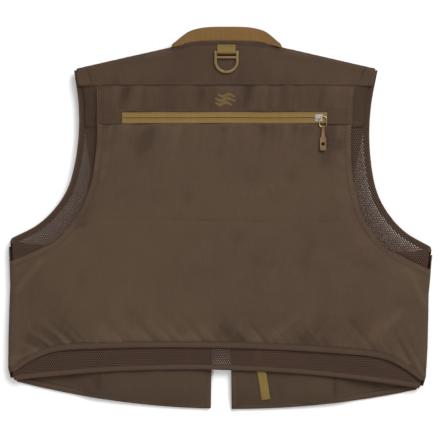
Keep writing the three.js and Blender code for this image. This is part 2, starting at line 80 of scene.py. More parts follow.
# ---------------------------------------------------------------- driving sizes

# The vest lies a little askew: it leans to the right towards the collar, and its lower half
# falls to the right.
LEAN, LEAN_FROM = 0.029, -50.0
SLOPE, SLOPE_STARTS, SLOPE_FULL = 0.02, 150.0, -35.0
MIDDLE = (-0.45, 0.25)  # the pattern point that is laid at the origin

SIDE = [(288, -233), (292.5, -216), (293.5, -170), (293, -100), (297, -35.5)]
BACK_ARMHOLE = [(297, -35.5), (257.5, -14), (234, 9.5), (217.5, 37), (208.5, 70), (203.5, 116),
                (205, 160), (212.5, 209)]
FRONT_ARMHOLE = [(297, -36), (262, -42), (228, -41), (194, -26), (177, 7), (181.5, 46),
                 (196, 123), (212.5, 209)]
POUCH_ARMHOLE = [(295, -66.5), (259, -50.5), (233.5, -37), (219.5, -24), (200, 3), (185, 43),
                 (180, 72), (177.5, 116), (180, 186)]
POUCH_HEM = [(0, -181), (85, -182), (164, -185.5), (218, -189.5), (242, -195.5), (264, -207),
             (287, -223)]
NECK = [(77, 240), (60, 245.5), (40, 248.5), (0, 249.5)]
SHOULDER_START, SHOULDER_SLOPE = (78.0, 239.5), 0.227
HEM_HALF_WIDTH = 288.0
BACK_HEM, BACK_HEM_FALL = -212.0, 21.0
FRONT_HEM, FRONT_HEM_RISE = -267.3, 34.3
FRONT_EDGE_TOP = 158.0
FRONT_GAP = (9.0, 14.5)  # half the gap between the fronts, top and bottom
YOKE_SEAM = 186.0
YOKE_SIDE_SEAM = ((196, 213), (186, 187))  # from the shoulder's end down to the yoke seam
FRONT_YOKE_DEPTH = 31.0
POCKET_STITCHES = (165.0, 168.0)  # x of the two upright lines beside each lower pocket
ZIP_MIDDLE, ZIP_HALF_LENGTH, ZIP_HALF_WIDTH, ZIP_SLOT = 140.3, 143.0, 8.1, 0.6
ARMHOLE_BINDING, POUCH_BINDING, HEM_BINDING = 10.0, 10.0, 11.0
POCKETS = {"chest": ((43, 147), (7, 107)), "lower": ((32, 165), (-238, -106))}

STRAP_ZONE = ((12, 72), (115, 148))  # the buckle and its straps lie under the fronts here
RING_LEG = 4.0  # the net ring's thickness, from its inside to its outside
RING_BAR_DOWN, RING_PIN_DOWN = 9.35, 1.9  # its cross bar and its pin, below its top

# Heights above the surface that the vest lies on.
BACK_TOP = 22.6
BACK_DROP = 8.0  # how far the back's edges lie below its middle
PANEL_TO_MESH = 2.4  # the mesh body lies this far under the outer panels
FRONT_LOW, FRONT_LIFT = 2.0, 6.9  # the fronts: on the surface, and lifted by their pockets
LINING_LIFT = 1.3
MESH_RELIEF = 0.55  # the mesh's folds are flatter than those of the panels
FOLD = 6.3  # outside radius of the folds at sides and shoulders
CLOTH = 0.6  # thickness


# ---------------------------------------------------------------- pattern and laid shape


def smoothstep(t):
    t = np.clip(t, 0, 1)
    return t * t * (3 - 2 * t)


def lay(x, y):
    """Laid x and y of pattern points."""
    low = smoothstep((SLOPE_STARTS - y) / (SLOPE_STARTS - SLOPE_FULL))
    return x + LEAN * (y - LEAN_FROM) - MIDDLE[0], y - SLOPE * x * low - MIDDLE[1]


def walk_along(points):
    """The length of a polyline up to each of its points."""
    return np.concatenate([[0], np.cumsum(np.linalg.norm(np.diff(points, axis=0), axis=1))])


def evenly(points, count):
    """A count of evenly spaced points along a polyline."""
    walk = walk_along(points)
    at = np.linspace(0, walk[-1], count)
    return np.stack([np.interp(at, walk, points[:, k]) for k in range(points.shape[1])], axis=1)


def resample(points, spacing):
    """Points at an even spacing along a polyline."""
    points = np.asarray(points, float)
    return evenly(points, max(int(round(walk_along(points)[-1] / spacing)), 1) + 1)


def smooth_path(points, spacing=2.0):
    """Evenly spaced points on a centripetal curve through the given ones."""
    steps_to_a_piece = 24
    p = np.asarray(points, float)
    p = np.vstack([2 * p[0] - p[1], p, 2 * p[-1] - p[-2]])
    curve = []
    for i in range(1, len(p) - 2):
        knots = [0.0]
        for a, b in ((i - 1, i), (i, i + 1), (i + 1, i + 2)):
            knots.append(knots[-1] + math.sqrt(np.linalg.norm(p[b] - p[a])))
        last = i == len(p) - 3
        t = np.linspace(knots[1], knots[2], steps_to_a_piece, endpoint=last)[:, None]
        a1 = ((knots[1] - t) * p[i - 1] + t * p[i]) / knots[1]
        a2 = ((knots[2] - t) * p[i] + (t - knots[1]) * p[i + 1]) / (knots[2] - knots[1])
        a3 = ((knots[3] - t) * p[i + 1] + (t - knots[2]) * p[i + 2]) / (knots[3] - knots[2])
        b1 = ((knots[2] - t) * a1 + t * a2) / knots[2]
        b2 = ((knots[3] - t) * a2 + (t - knots[1]) * a3) / (knots[3] - knots[1])
        curve.append(((knots[2] - t) * b1 + (t - knots[1]) * b2) / (knots[2] - knots[1]))
    return resample(np.vstack(curve), spacing)


def mirror(points):
    """The left half of a right half's path, kept anticlockwise."""
    return np.asarray(points, float)[::-1] * [-1, 1]


def sided(points, side):
    """A right-hand path as it is on one side: 1 for the right, -1 for the left."""
    return np.asarray(points, float) if side > 0 else mirror(points)


def both_halves(right):
    """A closed outline from its right half, which starts on the middle line."""
    left = mirror(right)
    return np.vstack([right, left[left[:, 0] < -0.01]])


def inset(points, distance):
    """Points moved to the left of their path."""
    tangent = np.gradient(points, axis=0)
    tangent /= np.linalg.norm(tangent, axis=1)[:, None]
    return points + distance * np.stack([-tangent[:, 1], tangent[:, 0]], axis=1)


def rows(points, low, high):
    """The points of a path between two heights of the pattern."""
    return points[(points[:, 1] >= low) & (points[:, 1] <= high)]


def back_hem(x):
    """y of the mesh body's hem, which falls towards the sides."""
    return BACK_HEM - BACK_HEM_FALL * (x / HEM_HALF_WIDTH) ** 2


def front_hem(x):
    """y of the fronts' hem, which rises towards the sides."""
    return FRONT_HEM + FRONT_HEM_RISE * (x / HEM_HALF_WIDTH) ** 2


def front_edge(y, side):
    """x of a front's inner edge, on the pattern's right side."""
    down = (FRONT_EDGE_TOP - y) / (FRONT_EDGE_TOP - FRONT_HEM)
    return FRONT_GAP[0] + (FRONT_GAP[1] - FRONT_GAP[0]) * down + side * (1 - LEAN * (y - LEAN_FROM))


def shoulder(x):
    """y of the shoulder line, on the pattern's right side."""
    return SHOULDER_START[1] - SHOULDER_SLOPE * (x - SHOULDER_START[0])


def side_x(y):
    return np.interp(y, [p[1] for p in SIDE], [p[0] for p in SIDE])


back_armhole = smooth_path(BACK_ARMHOLE)
front_armhole = smooth_path(FRONT_ARMHOLE)


def bell(distance, width):
    """1 in the middle of a bump or a dent, and fading to nothing beyond its width."""
    return np.exp(-((distance / width) ** 2))


def hollow(x, y, centre, reach):
    """1 in the middle of an oval dent, and fading to nothing beyond its reach both ways."""
    return np.exp(-(((x - centre[0]) / reach[0]) ** 2) - (((y - centre[1]) / reach[1]) ** 2))


def front_armhole_of(side):
    """The left front lies a little further out in its armhole than the right one."""
    further = 10.0 * bell(front_armhole[:, 1] - 30, 25) * (side < 0)
    return front_armhole + np.column_stack([further, np.zeros(len(front_armhole))])


pouch_armhole = smooth_path(POUCH_ARMHOLE)
pouch_hem = smooth_path(POUCH_HEM)
neck_line = smooth_path(NECK)
shoulder_out = np.array([SHOULDER_SLOPE, 1.0]) / math.hypot(SHOULDER_SLOPE, 1)


# ---------------------------------------------------------------- smooth noise for the cloth


LINE_CELLS, PLANE_CELLS = 256, 64  # after these the noise repeats
POINTS_AT_ONCE = 4000  # keeps the tables of distances small


def noise1(t, seed):
    """Smooth noise from -1 to 1 along a line, with one wave to a unit."""
    table = np.random.default_rng(seed).uniform(-1, 1, LINE_CELLS)
    cell = np.floor(t).astype(int)
    blend = smoothstep(t - cell)
    return table[cell % LINE_CELLS] * (1 - blend) + table[(cell + 1) % LINE_CELLS] * blend


def noise2(x, y, seed):
    """Smooth noise from -1 to 1 over a plane, with one wave to a unit."""
    table = np.random.default_rng(seed).uniform(-1, 1, (PLANE_CELLS, PLANE_CELLS))
    i, j = np.floor(x).astype(int), np.floor(y).astype(int)
    u, v = smoothstep(x - i), smoothstep(y - j)
    i0, i1, j0, j1 = (k % PLANE_CELLS for k in (i, i + 1, j, j + 1))
    low = table[i0, j0] * (1 - u) + table[i1, j0] * u
    high = table[i0, j1] * (1 - u) + table[i1, j1] * u
    return low * (1 - v) + high * v


def distance_to(x, y, path):
    """Distance of each point to the nearest point of a dense path."""
    x, y = np.atleast_1d(x).astype(float), np.atleast_1d(y).astype(float)
    result = np.empty(len(x))
    for start in range(0, len(x), POINTS_AT_ONCE):
        part = slice(start, start + POINTS_AT_ONCE)
        dx = x[part, None] - path[None, :, 0]
        dy = y[part, None] - path[None, :, 1]
        result[part] = np.sqrt((dx * dx + dy * dy).min(axis=1))
    return result


# ---------------------------------------------------------------- heights of the layers


def combined(*weights):
    """1 where any weight is 1, and smooth in between."""
    clear = 1.0
    for weight in weights:
        clear = clear * (1 - weight)
    return 1 - clear


def side_weight(x, y):
    """1 at the side folds, fading towards the middle and above the underarms."""
    inwards = side_x(y) - FOLD - np.abs(x)
    return smoothstep(1 - inwards / 80) * smoothstep((-20 - y) / 40)


def shoulder_weight(x, y):
    """1 at the shoulder folds, fading down the back and towards the neck."""
    down = (shoulder(np.abs(x)) - y) / math.hypot(SHOULDER_SLOPE, 1) - FOLD
    return smoothstep(1 - down / 42) * smoothstep((np.abs(x) - 38) / 50)


def hem_weight(x, y):
    """1 at the pouch's hem, fading up the back."""
    edge = np.interp(np.abs(x), pouch_hem[:, 0], pouch_hem[:, 1])
    return smoothstep(1 - (y - edge) / 60)


def back_height(x, y):
    """Height of the outer panels of the back."""
    arm = distance_to(x, y, both_sides_pouch_armhole)
    beside_yoke = smoothstep((np.abs(x) - 150) / 60) * smoothstep((y - 170) / 20)
    return BACK_TOP - BACK_DROP * combined(
        side_weight(x, y), 0.88 * shoulder_weight(x, y), 0.5 * hem_weight(x, y),
        0.3 * smoothstep(1 - arm / 28), 0.45 * beside_yoke,
    )


def mesh_height(x, y):
    """Height of the mesh body, under the outer panels and lowest along the armholes."""
    arm = distance_to(x, y, both_sides_back_armhole)
    open_edge = smoothstep(1 - arm / 45) * smoothstep((212 - y) / 45)
    hem = smoothstep(1 - (y - back_hem(x)) / 55)
    return BACK_TOP - PANEL_TO_MESH - BACK_DROP * combined(
        side_weight(x, y) * 0.7, 0.55 * shoulder_weight(x, y), 0.8 * hem, 0.95 * open_edge,
    )


def front_height(x, y):
    """Height of the fronts' shell, on the surface but where pockets and straps lift it."""
    slope_length = 38
    lift = 0.0
    for (x0, x1), (y0, y1) in [*POCKETS.values(), STRAP_ZONE]:
        beyond_x = np.maximum(np.maximum(x0 - np.abs(x), np.abs(x) - x1), 0)
        beyond_y = np.maximum(np.maximum(y0 - y, y - y1), 0)
        beyond = np.hypot(beyond_x, beyond_y)
        lift = np.maximum(lift, 1 - smoothstep(beyond / slope_length))
    return FRONT_LOW + FRONT_LIFT * lift


both_sides_pouch_armhole = np.vstack([pouch_armhole, mirror(pouch_armhole)])
both_sides_back_armhole = np.vstack([back_armhole, mirror(back_armhole)])


# ---------------------------------------------------------------- wrinkles


def gathers(along, away, reach, wave, depth, seed, slant=0.0):
    """Folds that run away from a seam and fade out; depth is their height at the seam.

    They are broad waves, smaller waves between them, and narrow ridges that bend as they run.
    """
    phase = along + slant * away
    folds = noise1(phase / wave, seed) + 0.5 * noise1(phase / (0.47 * wave), seed + 1)
    bent = phase + 0.25 * away * noise1(phase / (3 * wave), seed + 3)
    folds += 0.7 * np.maximum(1 - 3.2 * np.abs(noise1(bent / wave, seed + 2)), 0)
    return depth * folds * np.exp(-np.maximum(away, 0) / reach)


def crease(x, y, start, end, width, depth):
    """A soft ridge along a line."""
    start, end = np.array(start, float), np.array(end, float)
    span = end - start
    t = ((x - start[0]) * span[0] + (y - start[1]) * span[1]) / span.dot(span)
    off = (x - start[0]) * span[1] - (y - start[1]) * span[0]
    off /= np.linalg.norm(span)
    fade = smoothstep(t * 4) * smoothstep((1 - t) * 4)
    return depth * fade * bell(off, width)


DENT_DEPTH = 1.2  # of the hollows that leave room for moving parts


def pouch_swell(x, y):
    """The pouch's slow rise and fall, too broad to count as folds."""
    return 0.9 * noise2(x / 70, y / 48, 5)


def yoke_swell(x, y):
    """The yoke's slow rise and fall, with a dent where the net ring's pin turns."""
    return 0.9 * noise2(x / 55, y / 30, 53) - DENT_DEPTH * hollow(x, y, (0, 231), (24, 9))


# Long creases of the pouch: start, end, width and height.
POUCH_CREASES = [
    ((-246, -58), (-292, -118), 4.5, 2.2), ((262, -64), (292, -128), 5.0, 1.7),
    ((-290, -205), (-236, -186), 4.0, 1.6), ((200, -178), (262, -120), 9.0, 1.6),
    ((60, -176), (120, -128), 6.0, 1.2),
]
PULL_TAB_DENTS = [(143, 106), (-119, 106)]  # the pull tab lies here at the zip's two ends


def pouch_wrinkles(x, y):
    """Everything that shapes the pouch panel's surface beyond its lie."""
    hem = y - np.interp(np.abs(x), pouch_hem[:, 0], pouch_hem[:, 1]) - POUCH_BINDING
    arm = distance_to(x, y, both_sides_pouch_armhole)
    zip_away = ZIP_MIDDLE - ZIP_HALF_WIDTH - y
    result = gathers(x, zip_away, 30, 17, 1.6, 11, 0.12) * smoothstep((zip_away + 1) / 8)
    result += gathers(x, hem, 17, 11, 1.9, 23, 0.9)
    result += gathers(x, hem, 28, 31, 0.9, 29, -0.6)
    result += gathers(y + 0.4 * np.abs(x), arm - POUCH_BINDING, 13, 13, 1.0, 31)
    result += pouch_swell(x, y) + 0.55 * noise2(x / 24, y / 29, 6)
    result += 0.14 * noise2(x / 8, y / 9, 7)
    for long_crease in POUCH_CREASES:
        result += crease(x, y, *long_crease)
    for dent in PULL_TAB_DENTS:
        result -= DENT_DEPTH * hollow(x, y, dent, (20, 28))
    seam = 0.6 * bell(y + 3 - 0.01 * x, 1.2) * smoothstep((178 - np.abs(x)) / 20)
    under_binding = smoothstep((hem + 5) / 8) * smoothstep((arm - POUCH_BINDING + 5) / 8)
    return (result - seam) * under_binding


def strip_wrinkles(x, y):
    """Soft upright gathers between the yoke seam and the zip.

    They fade at the strip's ends, at both of its seams and under the end patches.
    """
    folds = gathers(x, YOKE_SEAM - y, 34, 17, 2.2, 41, 0.15)
    above_zip = y - (ZIP_MIDDLE + ZIP_HALF_WIDTH)
    folds += gathers(x, above_zip, 14, 9, 1.0, 43)
    ends = smoothstep((182 - np.abs(x)) / 14) * smoothstep((YOKE_SEAM + 1 - y) / 10)
    ends *= smoothstep((above_zip + 1) / 7)
    ends *= 1 - smoothstep((np.abs(x) - 136) / 7) * smoothstep((154 - y) / 6)
    return folds * ends + 0.2 * noise2(x / 17, y / 17, 45)


def yoke_wrinkles(x, y):
    """Gathers and creases, and the step down where the collar's seam pulls the yoke in."""
    neck = distance_to(x, y, np.vstack([neck_line, mirror(neck_line)]))
    fold = 1.9 * smoothstep((9.5 - neck + 1.2 * noise1(x / 31, 58)) / 1.6)
    result = gathers(x, y - YOKE_SEAM, 14, 17, 0.7, 51, 0.3)
    result += yoke_swell(x, y) + 0.35 * noise2(x / 17, y / 19, 54)
    result += gathers(y, 212 - np.abs(x), 14, 14, 0.9, 57)
    result = result * smoothstep((y - YOKE_SEAM + 3) / 8)
    (seam_x, seam_y), (seam_foot_x, seam_foot_y) = YOKE_SIDE_SEAM
    for side in (-1, 1):
        result += crease(x, y, (side * seam_x, seam_y), (side * seam_foot_x, seam_foot_y), 1.6, -0.9)
        result += crease(x, y, (side * 62, 240), (side * 120, 222), 5.0, 1.1)
    return result - fold


def mesh_wrinkles(x, y):
    """Gathers along the hem and the armholes of the mesh body, and its slow rise and fall."""
    arm = distance_to(x, y, both_sides_back_armhole)
    hem = y - back_hem(x)
    folds = gathers(x, hem, 16, 16, 0.9, 61, 0.4) + gathers(y, arm, 14, 19, 0.7, 63)
    return MESH_RELIEF * (folds + 0.7 * noise2(x / 37, y / 33, 65))


def front_wrinkles(x, y):
    """Gathers along a front's hem, and the groove of the stitches that hold the lower pocket."""
    hem = y - front_hem(np.abs(x))
    result = gathers(x, hem, 22, 26, 1.1, 71, 0.5) + 0.7 * noise2(x / 43, y / 39, 73)
    for side in (-1, 1):
        result -= bell(x - side * POCKET_STITCHES[0], 1.3) * smoothstep((-80 - y) / 30)
    edge = np.abs(x) - 14
    return result * smoothstep((hem - HEM_BINDING + 4) / 8) * smoothstep((edge - HEM_BINDING + 6) / 8)


# ---------------------------------------------------------------- folds at the sides and shoulders


def round_side(x, y, z):
    """Wraps what reaches past the side line down round the fold."""
    past = np.abs(x) - (side_x(y) - FOLD)
    angle = np.clip(past / FOLD, 0, math.pi)
    flat = np.maximum(past - math.pi * FOLD, 0)
    wrapped = past > 0
    x_new = np.sign(x) * (side_x(y) - FOLD + FOLD * np.sin(angle) - flat)
    z_new = z - FOLD * (1 - np.cos(angle))
    return np.where(wrapped, x_new, x), y, np.where(wrapped, z_new, z)


def round_shoulder(x, y, z):
    """Wraps what reaches past the shoulder line down round its fold, but not at the neck."""
    past = (y - shoulder(np.abs(x))) / math.hypot(SHOULDER_SLOPE, 1) + FOLD
    angle = np.clip(past / FOLD, 0, math.pi)
    flat = np.maximum(past - math.pi * FOLD, 0)
    back = np.where(past > 0, past - FOLD * np.sin(angle) + flat, 0)
    back = back * smoothstep((np.abs(x) - 68) / 12)
    drop = np.where(past > 0, FOLD * (1 - np.cos(angle)), 0) * smoothstep((np.abs(x) - 62) / 16)
    return x - np.sign(x) * shoulder_out[0] * back, y - shoulder_out[1] * back, z - drop


# ---------------------------------------------------------------- mesh makers


def make_mesh(name, points, faces, uv=None, attributes=None):
    """A smooth mesh from laid points in millimetres, with its own UV map and attributes."""
    mesh = bpy.data.meshes.new(name)
    mesh.from_pydata((np.asarray(points, float) * MM).tolist(), [], faces)
    mesh.polygons.foreach_set("use_smooth", [True] * len(mesh.polygons))
    if uv is not None:
        corner = np.empty(len(mesh.loops), np.int32)
        mesh.loops.foreach_get("vertex_index", corner)
        layer = mesh.uv_layers.new(name="UVMap")
        layer.data.foreach_set("uv", (np.asarray(uv, float) * MM)[corner].ravel())
    for key, values in (attributes or {}).items():
        layer = mesh.attributes.new(key, "FLOAT", "POINT")
        layer.data.foreach_set("value", np.asarray(values, np.float32))
    mesh.update()
    return mesh


def inside(x, y, outline):
    """Whether each point lies inside a closed outline."""
    x0, y0 = outline[:, 0], outline[:, 1]
    x1, y1 = np.roll(x0, -1), np.roll(y0, -1)
    result = np.zeros(len(x), bool)
    for start in range(0, len(x), POINTS_AT_ONCE):
        part = slice(start, start + POINTS_AT_ONCE)
        px, py = x[part, None], y[part, None]
        rises = (y0 > py) != (y1 > py)
        across = (x1 - x0) * (py - y0) / np.where(y1 == y0, 1e-9, y1 - y0) + x0
        result[part] = (rises & (px < across)).sum(axis=1) % 2 == 1
    return result


TRIANGLE_HEIGHT = 0.866  # of an equal-sided triangle with sides of 1
WORN_RIM = 7.0  # how far from a panel's edge the cloth is rubbed lighter


def cloth_mesh(name, outline, shape, spacing=3.0, relief=None):
    """A cut of cloth: a net of even triangles inside its outline, shaped by shape(x, y).

    shape gives the pattern place and height of each point. relief, where it is given, says how
    far a point stands out of its surroundings, and the finish paints light on its ridges and shade in
    its hollows from it.
    """
    closed = resample(np.vstack([outline, outline[:1]]), spacing * 0.8)[:-1]
    low, high = closed.min(axis=0), closed.max(axis=0)
    columns = np.arange(low[0], high[0], spacing)
    lines = np.arange(low[1], high[1], spacing * TRIANGLE_HEIGHT)
    gx, gy = np.meshgrid(columns, lines)
    gx = gx + np.where(np.arange(len(lines)) % 2, spacing / 2, 0)[:, None]
    gx, gy = gx.ravel(), gy.ravel()
    keep = inside(gx, gy, closed)
    gx, gy = gx[keep], gy[keep]
    keep = distance_to(gx, gy, closed) > spacing * 0.55
    flat = np.vstack([closed, np.stack([gx[keep], gy[keep]], axis=1)])
    count = len(closed)
    edges = [(i, (i + 1) % count) for i in range(count)]
    points, _, faces, _, _, _ = geometry.delaunay_2d_cdt(
        [Vector(p) for p in flat], edges, [], 1, 1e-6
    )
    flat = np.array([tuple(p) for p in points])
    x, y, z = shape(flat[:, 0], flat[:, 1])
    lx, ly = lay(x, y)
    edge = smoothstep(1 - distance_to(flat[:, 0], flat[:, 1], closed) / WORN_RIM)
    raised = relief(flat[:, 0], flat[:, 1]) if relief else np.zeros(len(flat))
    return make_mesh(name, np.stack([lx, ly, z], axis=1), [tuple(f) for f in faces], flat,
                     {"wear": edge, "relief": raised})


def grid_faces(rows, columns, closed_rows=False, closed_columns=False):
    """Quads between the points of a grid, numbered row by row."""
    faces = []
    for i in range(rows if closed_rows else rows - 1):
        this_row, next_row = i * columns, ((i + 1) % rows) * columns
        for j in range(columns if closed_columns else columns - 1):
            next_column = (j + 1) % columns
            faces.append((this_row + j, next_row + j, next_row + next_column,
                          this_row + next_column))
    return faces


def loft_mesh(name, rings, loop=False, across=None, flip=False, attributes=None):
    """A skin over rings of points, in laid millimetres: joined end to end, or with two caps."""
    rings = np.asarray(rings, float)
    rows, columns = rings.shape[:2]
    if across is None:
        across = walk_along(rings[0])
    uv = np.stack([np.repeat(walk_along(rings[:, 0]), columns), np.tile(across, rows)], axis=1)
    faces = grid_faces(rows, columns, loop, True)
    if not loop:
        faces += [tuple(range(columns)), tuple(range((rows - 1) * columns, rows * columns))[::-1]]
    if flip:
        faces = [f[::-1] for f in faces]
    return make_mesh(name, rings.reshape(-1, 3), faces, uv, attributes)


def frames_along(path, first, loop=False):
    """Unit tangents, and unit vectors across the path that turn as little as they can."""
    tangent = np.gradient(path, axis=0)
    if loop:
        tangent = (np.roll(path, -1, axis=0) - np.roll(path, 1, axis=0)) / 2
    tangent /= np.linalg.norm(tangent, axis=1)[:, None]
    inward = np.empty_like(path)
    carried = np.asarray(first, float)
    for i, t in enumerate(tangent):
        carried = carried - carried.dot(t) * t
        carried /= np.linalg.norm(carried)
        inward[i] = carried
    return tangent, inward


def lay_rings(rings, side=1):
    """Rings of pattern points where the laid vest has them."""
    rings = rings * [side, 1, 1]
    x, y = lay(rings[..., 0], rings[..., 1])
    return np.stack([x, y, rings[..., 2]], axis=-1)


# Half of a binding's section: share of its width from the edge, and share of its thickness.
BAND_SECTION = [(0.0, 0.0), (0.10, 0.62), (0.30, 0.95), (0.55, 1.0), (0.80, 0.86), (0.96, 0.66),
                (1.0, 0.3)]


def band_mesh(name, path, first, width, thick, side=1, loop=False, seed=1, pucker=0.22):
    """A folded strip sewn round an edge: flat, full in its middle and puckered by its stitches."""
    tangent, inward = frames_along(path, first, loop)
    up = np.cross(tangent, inward)
    walk = walk_along(path)
    rings = []
    section = BAND_SECTION + [(u, -w) for u, w in BAND_SECTION[:0:-1]]
    for u, w in section:
        sew = 1 - 0.30 * math.exp(-(((u - 0.84) / 0.07) ** 2))
        puff = 1 + pucker * noise1(walk / 3.4, seed) * u + 0.10 * noise1(walk / 17, seed + 3)
        out = width * u * (1 + 0.035 * noise1(walk / 23, seed + 5))
        rings.append(path + inward * out[:, None] + up * (thick * w * sew * puff)[:, None])
    rings = lay_rings(np.stack(rings, axis=1), side)
    across = [width * u for u, _ in BAND_SECTION]
    across += [width * (2 - u) for u, _ in BAND_SECTION[:0:-1]]
    wear = np.tile([math.exp(-((u / 0.2) ** 2)) for u, _ in section], len(path))
    # Painted light on the band's full middle, and a painted line of shade along its inner edge, where
    # it meets the panel.
    relief = np.tile([0.5 - abs(u - 0.45) - 2.2 * (u > 0.93) for u, _ in section], len(path))
    return loft_mesh(name, rings, loop=loop, across=np.array(across), flip=side < 0,
                     attributes={"wear": wear, "relief": relief})


# ---------------------------------------------------------------- node trees


# Places of sockets among a node's inputs or outputs.
OBJECT_COORDINATES, ATTRIBUTE_VALUE = 3, 2
COLOUR_A, COLOUR_B, MIXED_COLOUR = 6, 7, 2


class Socket:
    """A value in a node tree: arithmetic on it adds Math nodes."""

    def __init__(self, tree, link):
        self.tree, self.link = tree, link

    def math(self, operation, *others):
        values = {i: v for i, v in enumerate((self, *others))}
        return self.tree.node("ShaderNodeMath", {"operation": operation}, values)

    def __add__(self, other):
        return self.math("ADD", other)

    def __mul__(self, other):
        return self.math("MULTIPLY", other)

    def __sub__(self, other):
        return self.math("SUBTRACT", other)

    def __rsub__(self, other):
        return self.tree.node("ShaderNodeMath", {"operation": "SUBTRACT"}, {0: other, 1: self})

    def __truediv__(self, other):
        return self.math("DIVIDE", other)

    __radd__ = __add__
    __rmul__ = __mul__

    def ramp(self, low, high):
        """0 below low, 1 above high, and smooth in between."""
        settings = {"interpolation_type": "SMOOTHSTEP"}
        values = {"Value": self, "From Min": low, "From Max": high}
        return self.tree.node("ShaderNodeMapRange", settings, values)


class Tree:
    """Makes the nodes of one tree."""

    def __init__(self, node_tree):
        self.tree = node_tree

    def node(self, kind, settings=None, values=None, output=0):
        made = self.tree.nodes.new(kind)
        for key, value in (settings or {}).items():
            setattr(made, key, value)
        for key, value in (values or {}).items():
            if isinstance(value, Socket):
                self.tree.links.new(value.link, made.inputs[key])
            else:
                made.inputs[key].default_value = value
        return Socket(self, made.outputs[output])


class Finish(Tree):
    """A material, from its base settings to the nodes that vary over the surface."""

    def __init__(self, name, **constants):
        self.material = bpy.data.materials.new(name)
        self.material.use_nodes = True
        super().__init__(self.material.node_tree)
        self.shader = self.tree.nodes["Principled BSDF"]
        for key, value in constants.items():
            self.shader.inputs[key.replace("_", " ")].default_value = value
        self.place = self.node("ShaderNodeTexCoord", output=OBJECT_COORDINATES)

    def set(self, key, value):
        self.tree.links.new(value.link, self.shader.inputs[key])

    def uv(self):
        return self.node("ShaderNodeUVMap", {"uv_map": "UVMap"})

    def attribute(self, name):
        settings = {"attribute_name": name}
        return self.node("ShaderNodeAttribute", settings, output=ATTRIBUTE_VALUE)

    def parts(self, vector):
        split = self.node("ShaderNodeSeparateXYZ", None, {0: vector}).link.node
        return [Socket(self, output) for output in split.outputs]

    def noise(self, scale, detail=2.0, vector=None, stretch=None):
        """Noise with scale waves to a metre, drawn out along an axis whose stretch is below 1."""
        vector = vector or self.place
        if stretch:
            settings = {"operation": "MULTIPLY"}
            vector = self.node("ShaderNodeVectorMath", settings, {0: vector, 1: stretch})
        values = {"Vector": vector, "Scale": scale, "Detail": detail}
        return self.node("ShaderNodeTexNoise", None, values)

    def mix(self, factor, a, b):
        """Colour a where the factor is 0, and colour b where it is 1."""
        mixed = self.node("ShaderNodeMix", {"data_type": "RGBA"}, {0: factor})
        made = mixed.link.node
        for socket, value in ((made.inputs[COLOUR_A], a), (made.inputs[COLOUR_B], b)):
            if isinstance(value, Socket):
                self.tree.links.new(value.link, socket)
            else:
                socket.default_value = (*value, 1)
        return Socket(self, made.outputs[MIXED_COLOUR])

    def bump(self, height, distance):
        values = {"Height": height, "Distance": distance * MM, "Strength": 1.0}
        self.set("Normal", self.node("ShaderNodeBump", None, values))


def times(colour, factor):
    """A colour made darker or lighter."""
    return tuple(c * factor for c in colour)


def woven(tree, vector, warp, weft):
    """Height of a plain weave whose threads stand warp and weft millimetres apart."""
    x, y, _ = tree.parts(vector)
    across = (x * (math.pi / (warp * MM))).math("SINE")
    along = (y * (math.pi / (weft * MM))).math("SINE")
    over = (across * along).ramp(-0.4, 0.4)
    return over * across.math("ABSOLUTE") + (1 - over) * along.math("ABSOLUTE")


def cloth_finish(name, colour, tint, pitch=(0.55, 0.48), by_uv=False, depth=0.10, rough=0.82,
                 sheen=0.04, lightening=1.35, blotch=0.14):
    """Woven cloth: threads, a painted highlight on ridges, rubbed lighter edges, painted shade in
    folds and slow changes of shade.
    """
    finish = Finish(name, Roughness=rough, Sheen_Weight=sheen, Sheen_Roughness=0.45,
                    Specular_IOR_Level=0.12)
    vector = finish.uv() if by_uv else finish.place
    threads = woven(finish, vector, *pitch)
    slow = finish.noise(7.0, 2.0)
    cloud = finish.noise(34.0, 3.0)
    slub = finish.noise(620.0, 2.0, vector, (1.0, 0.12, 1.0))
    relief, wear = finish.attribute("relief"), finish.attribute("wear")
    base = finish.mix(slow.ramp(0.36, 0.66), colour, tint)
    base = finish.mix(cloud.ramp(0.30, 0.72) * blotch * 2, base, times(colour, 1.14))
    base = finish.mix((1 - threads) * 0.42, base, times(colour, 0.55))
    base = finish.mix(slub.ramp(0.58, 0.74) * 0.30, base, times(colour, 1.45))
    # Painted highlight on the ridges of the relief, and painted shade in its hollows and creases.
    base = finish.mix(relief.ramp(0.15, 1.3) * 0.35, base, times(colour, lightening))
    base = finish.mix((0 - relief).ramp(0.1, 1.2) * 0.6, base, times(tint, 0.55))
    base = finish.mix(wear * cloud.ramp(0.40, 0.62) * 0.28, base, times(colour, lightening * 1.1))
    finish.set("Base Color", base)
    finish.set("Roughness", threads * -0.08 + cloud * 0.10 + (rough - 0.02))
    finish.bump(threads * 0.6 + slub * 0.4 + cloud * 0.8, depth)
    return finish


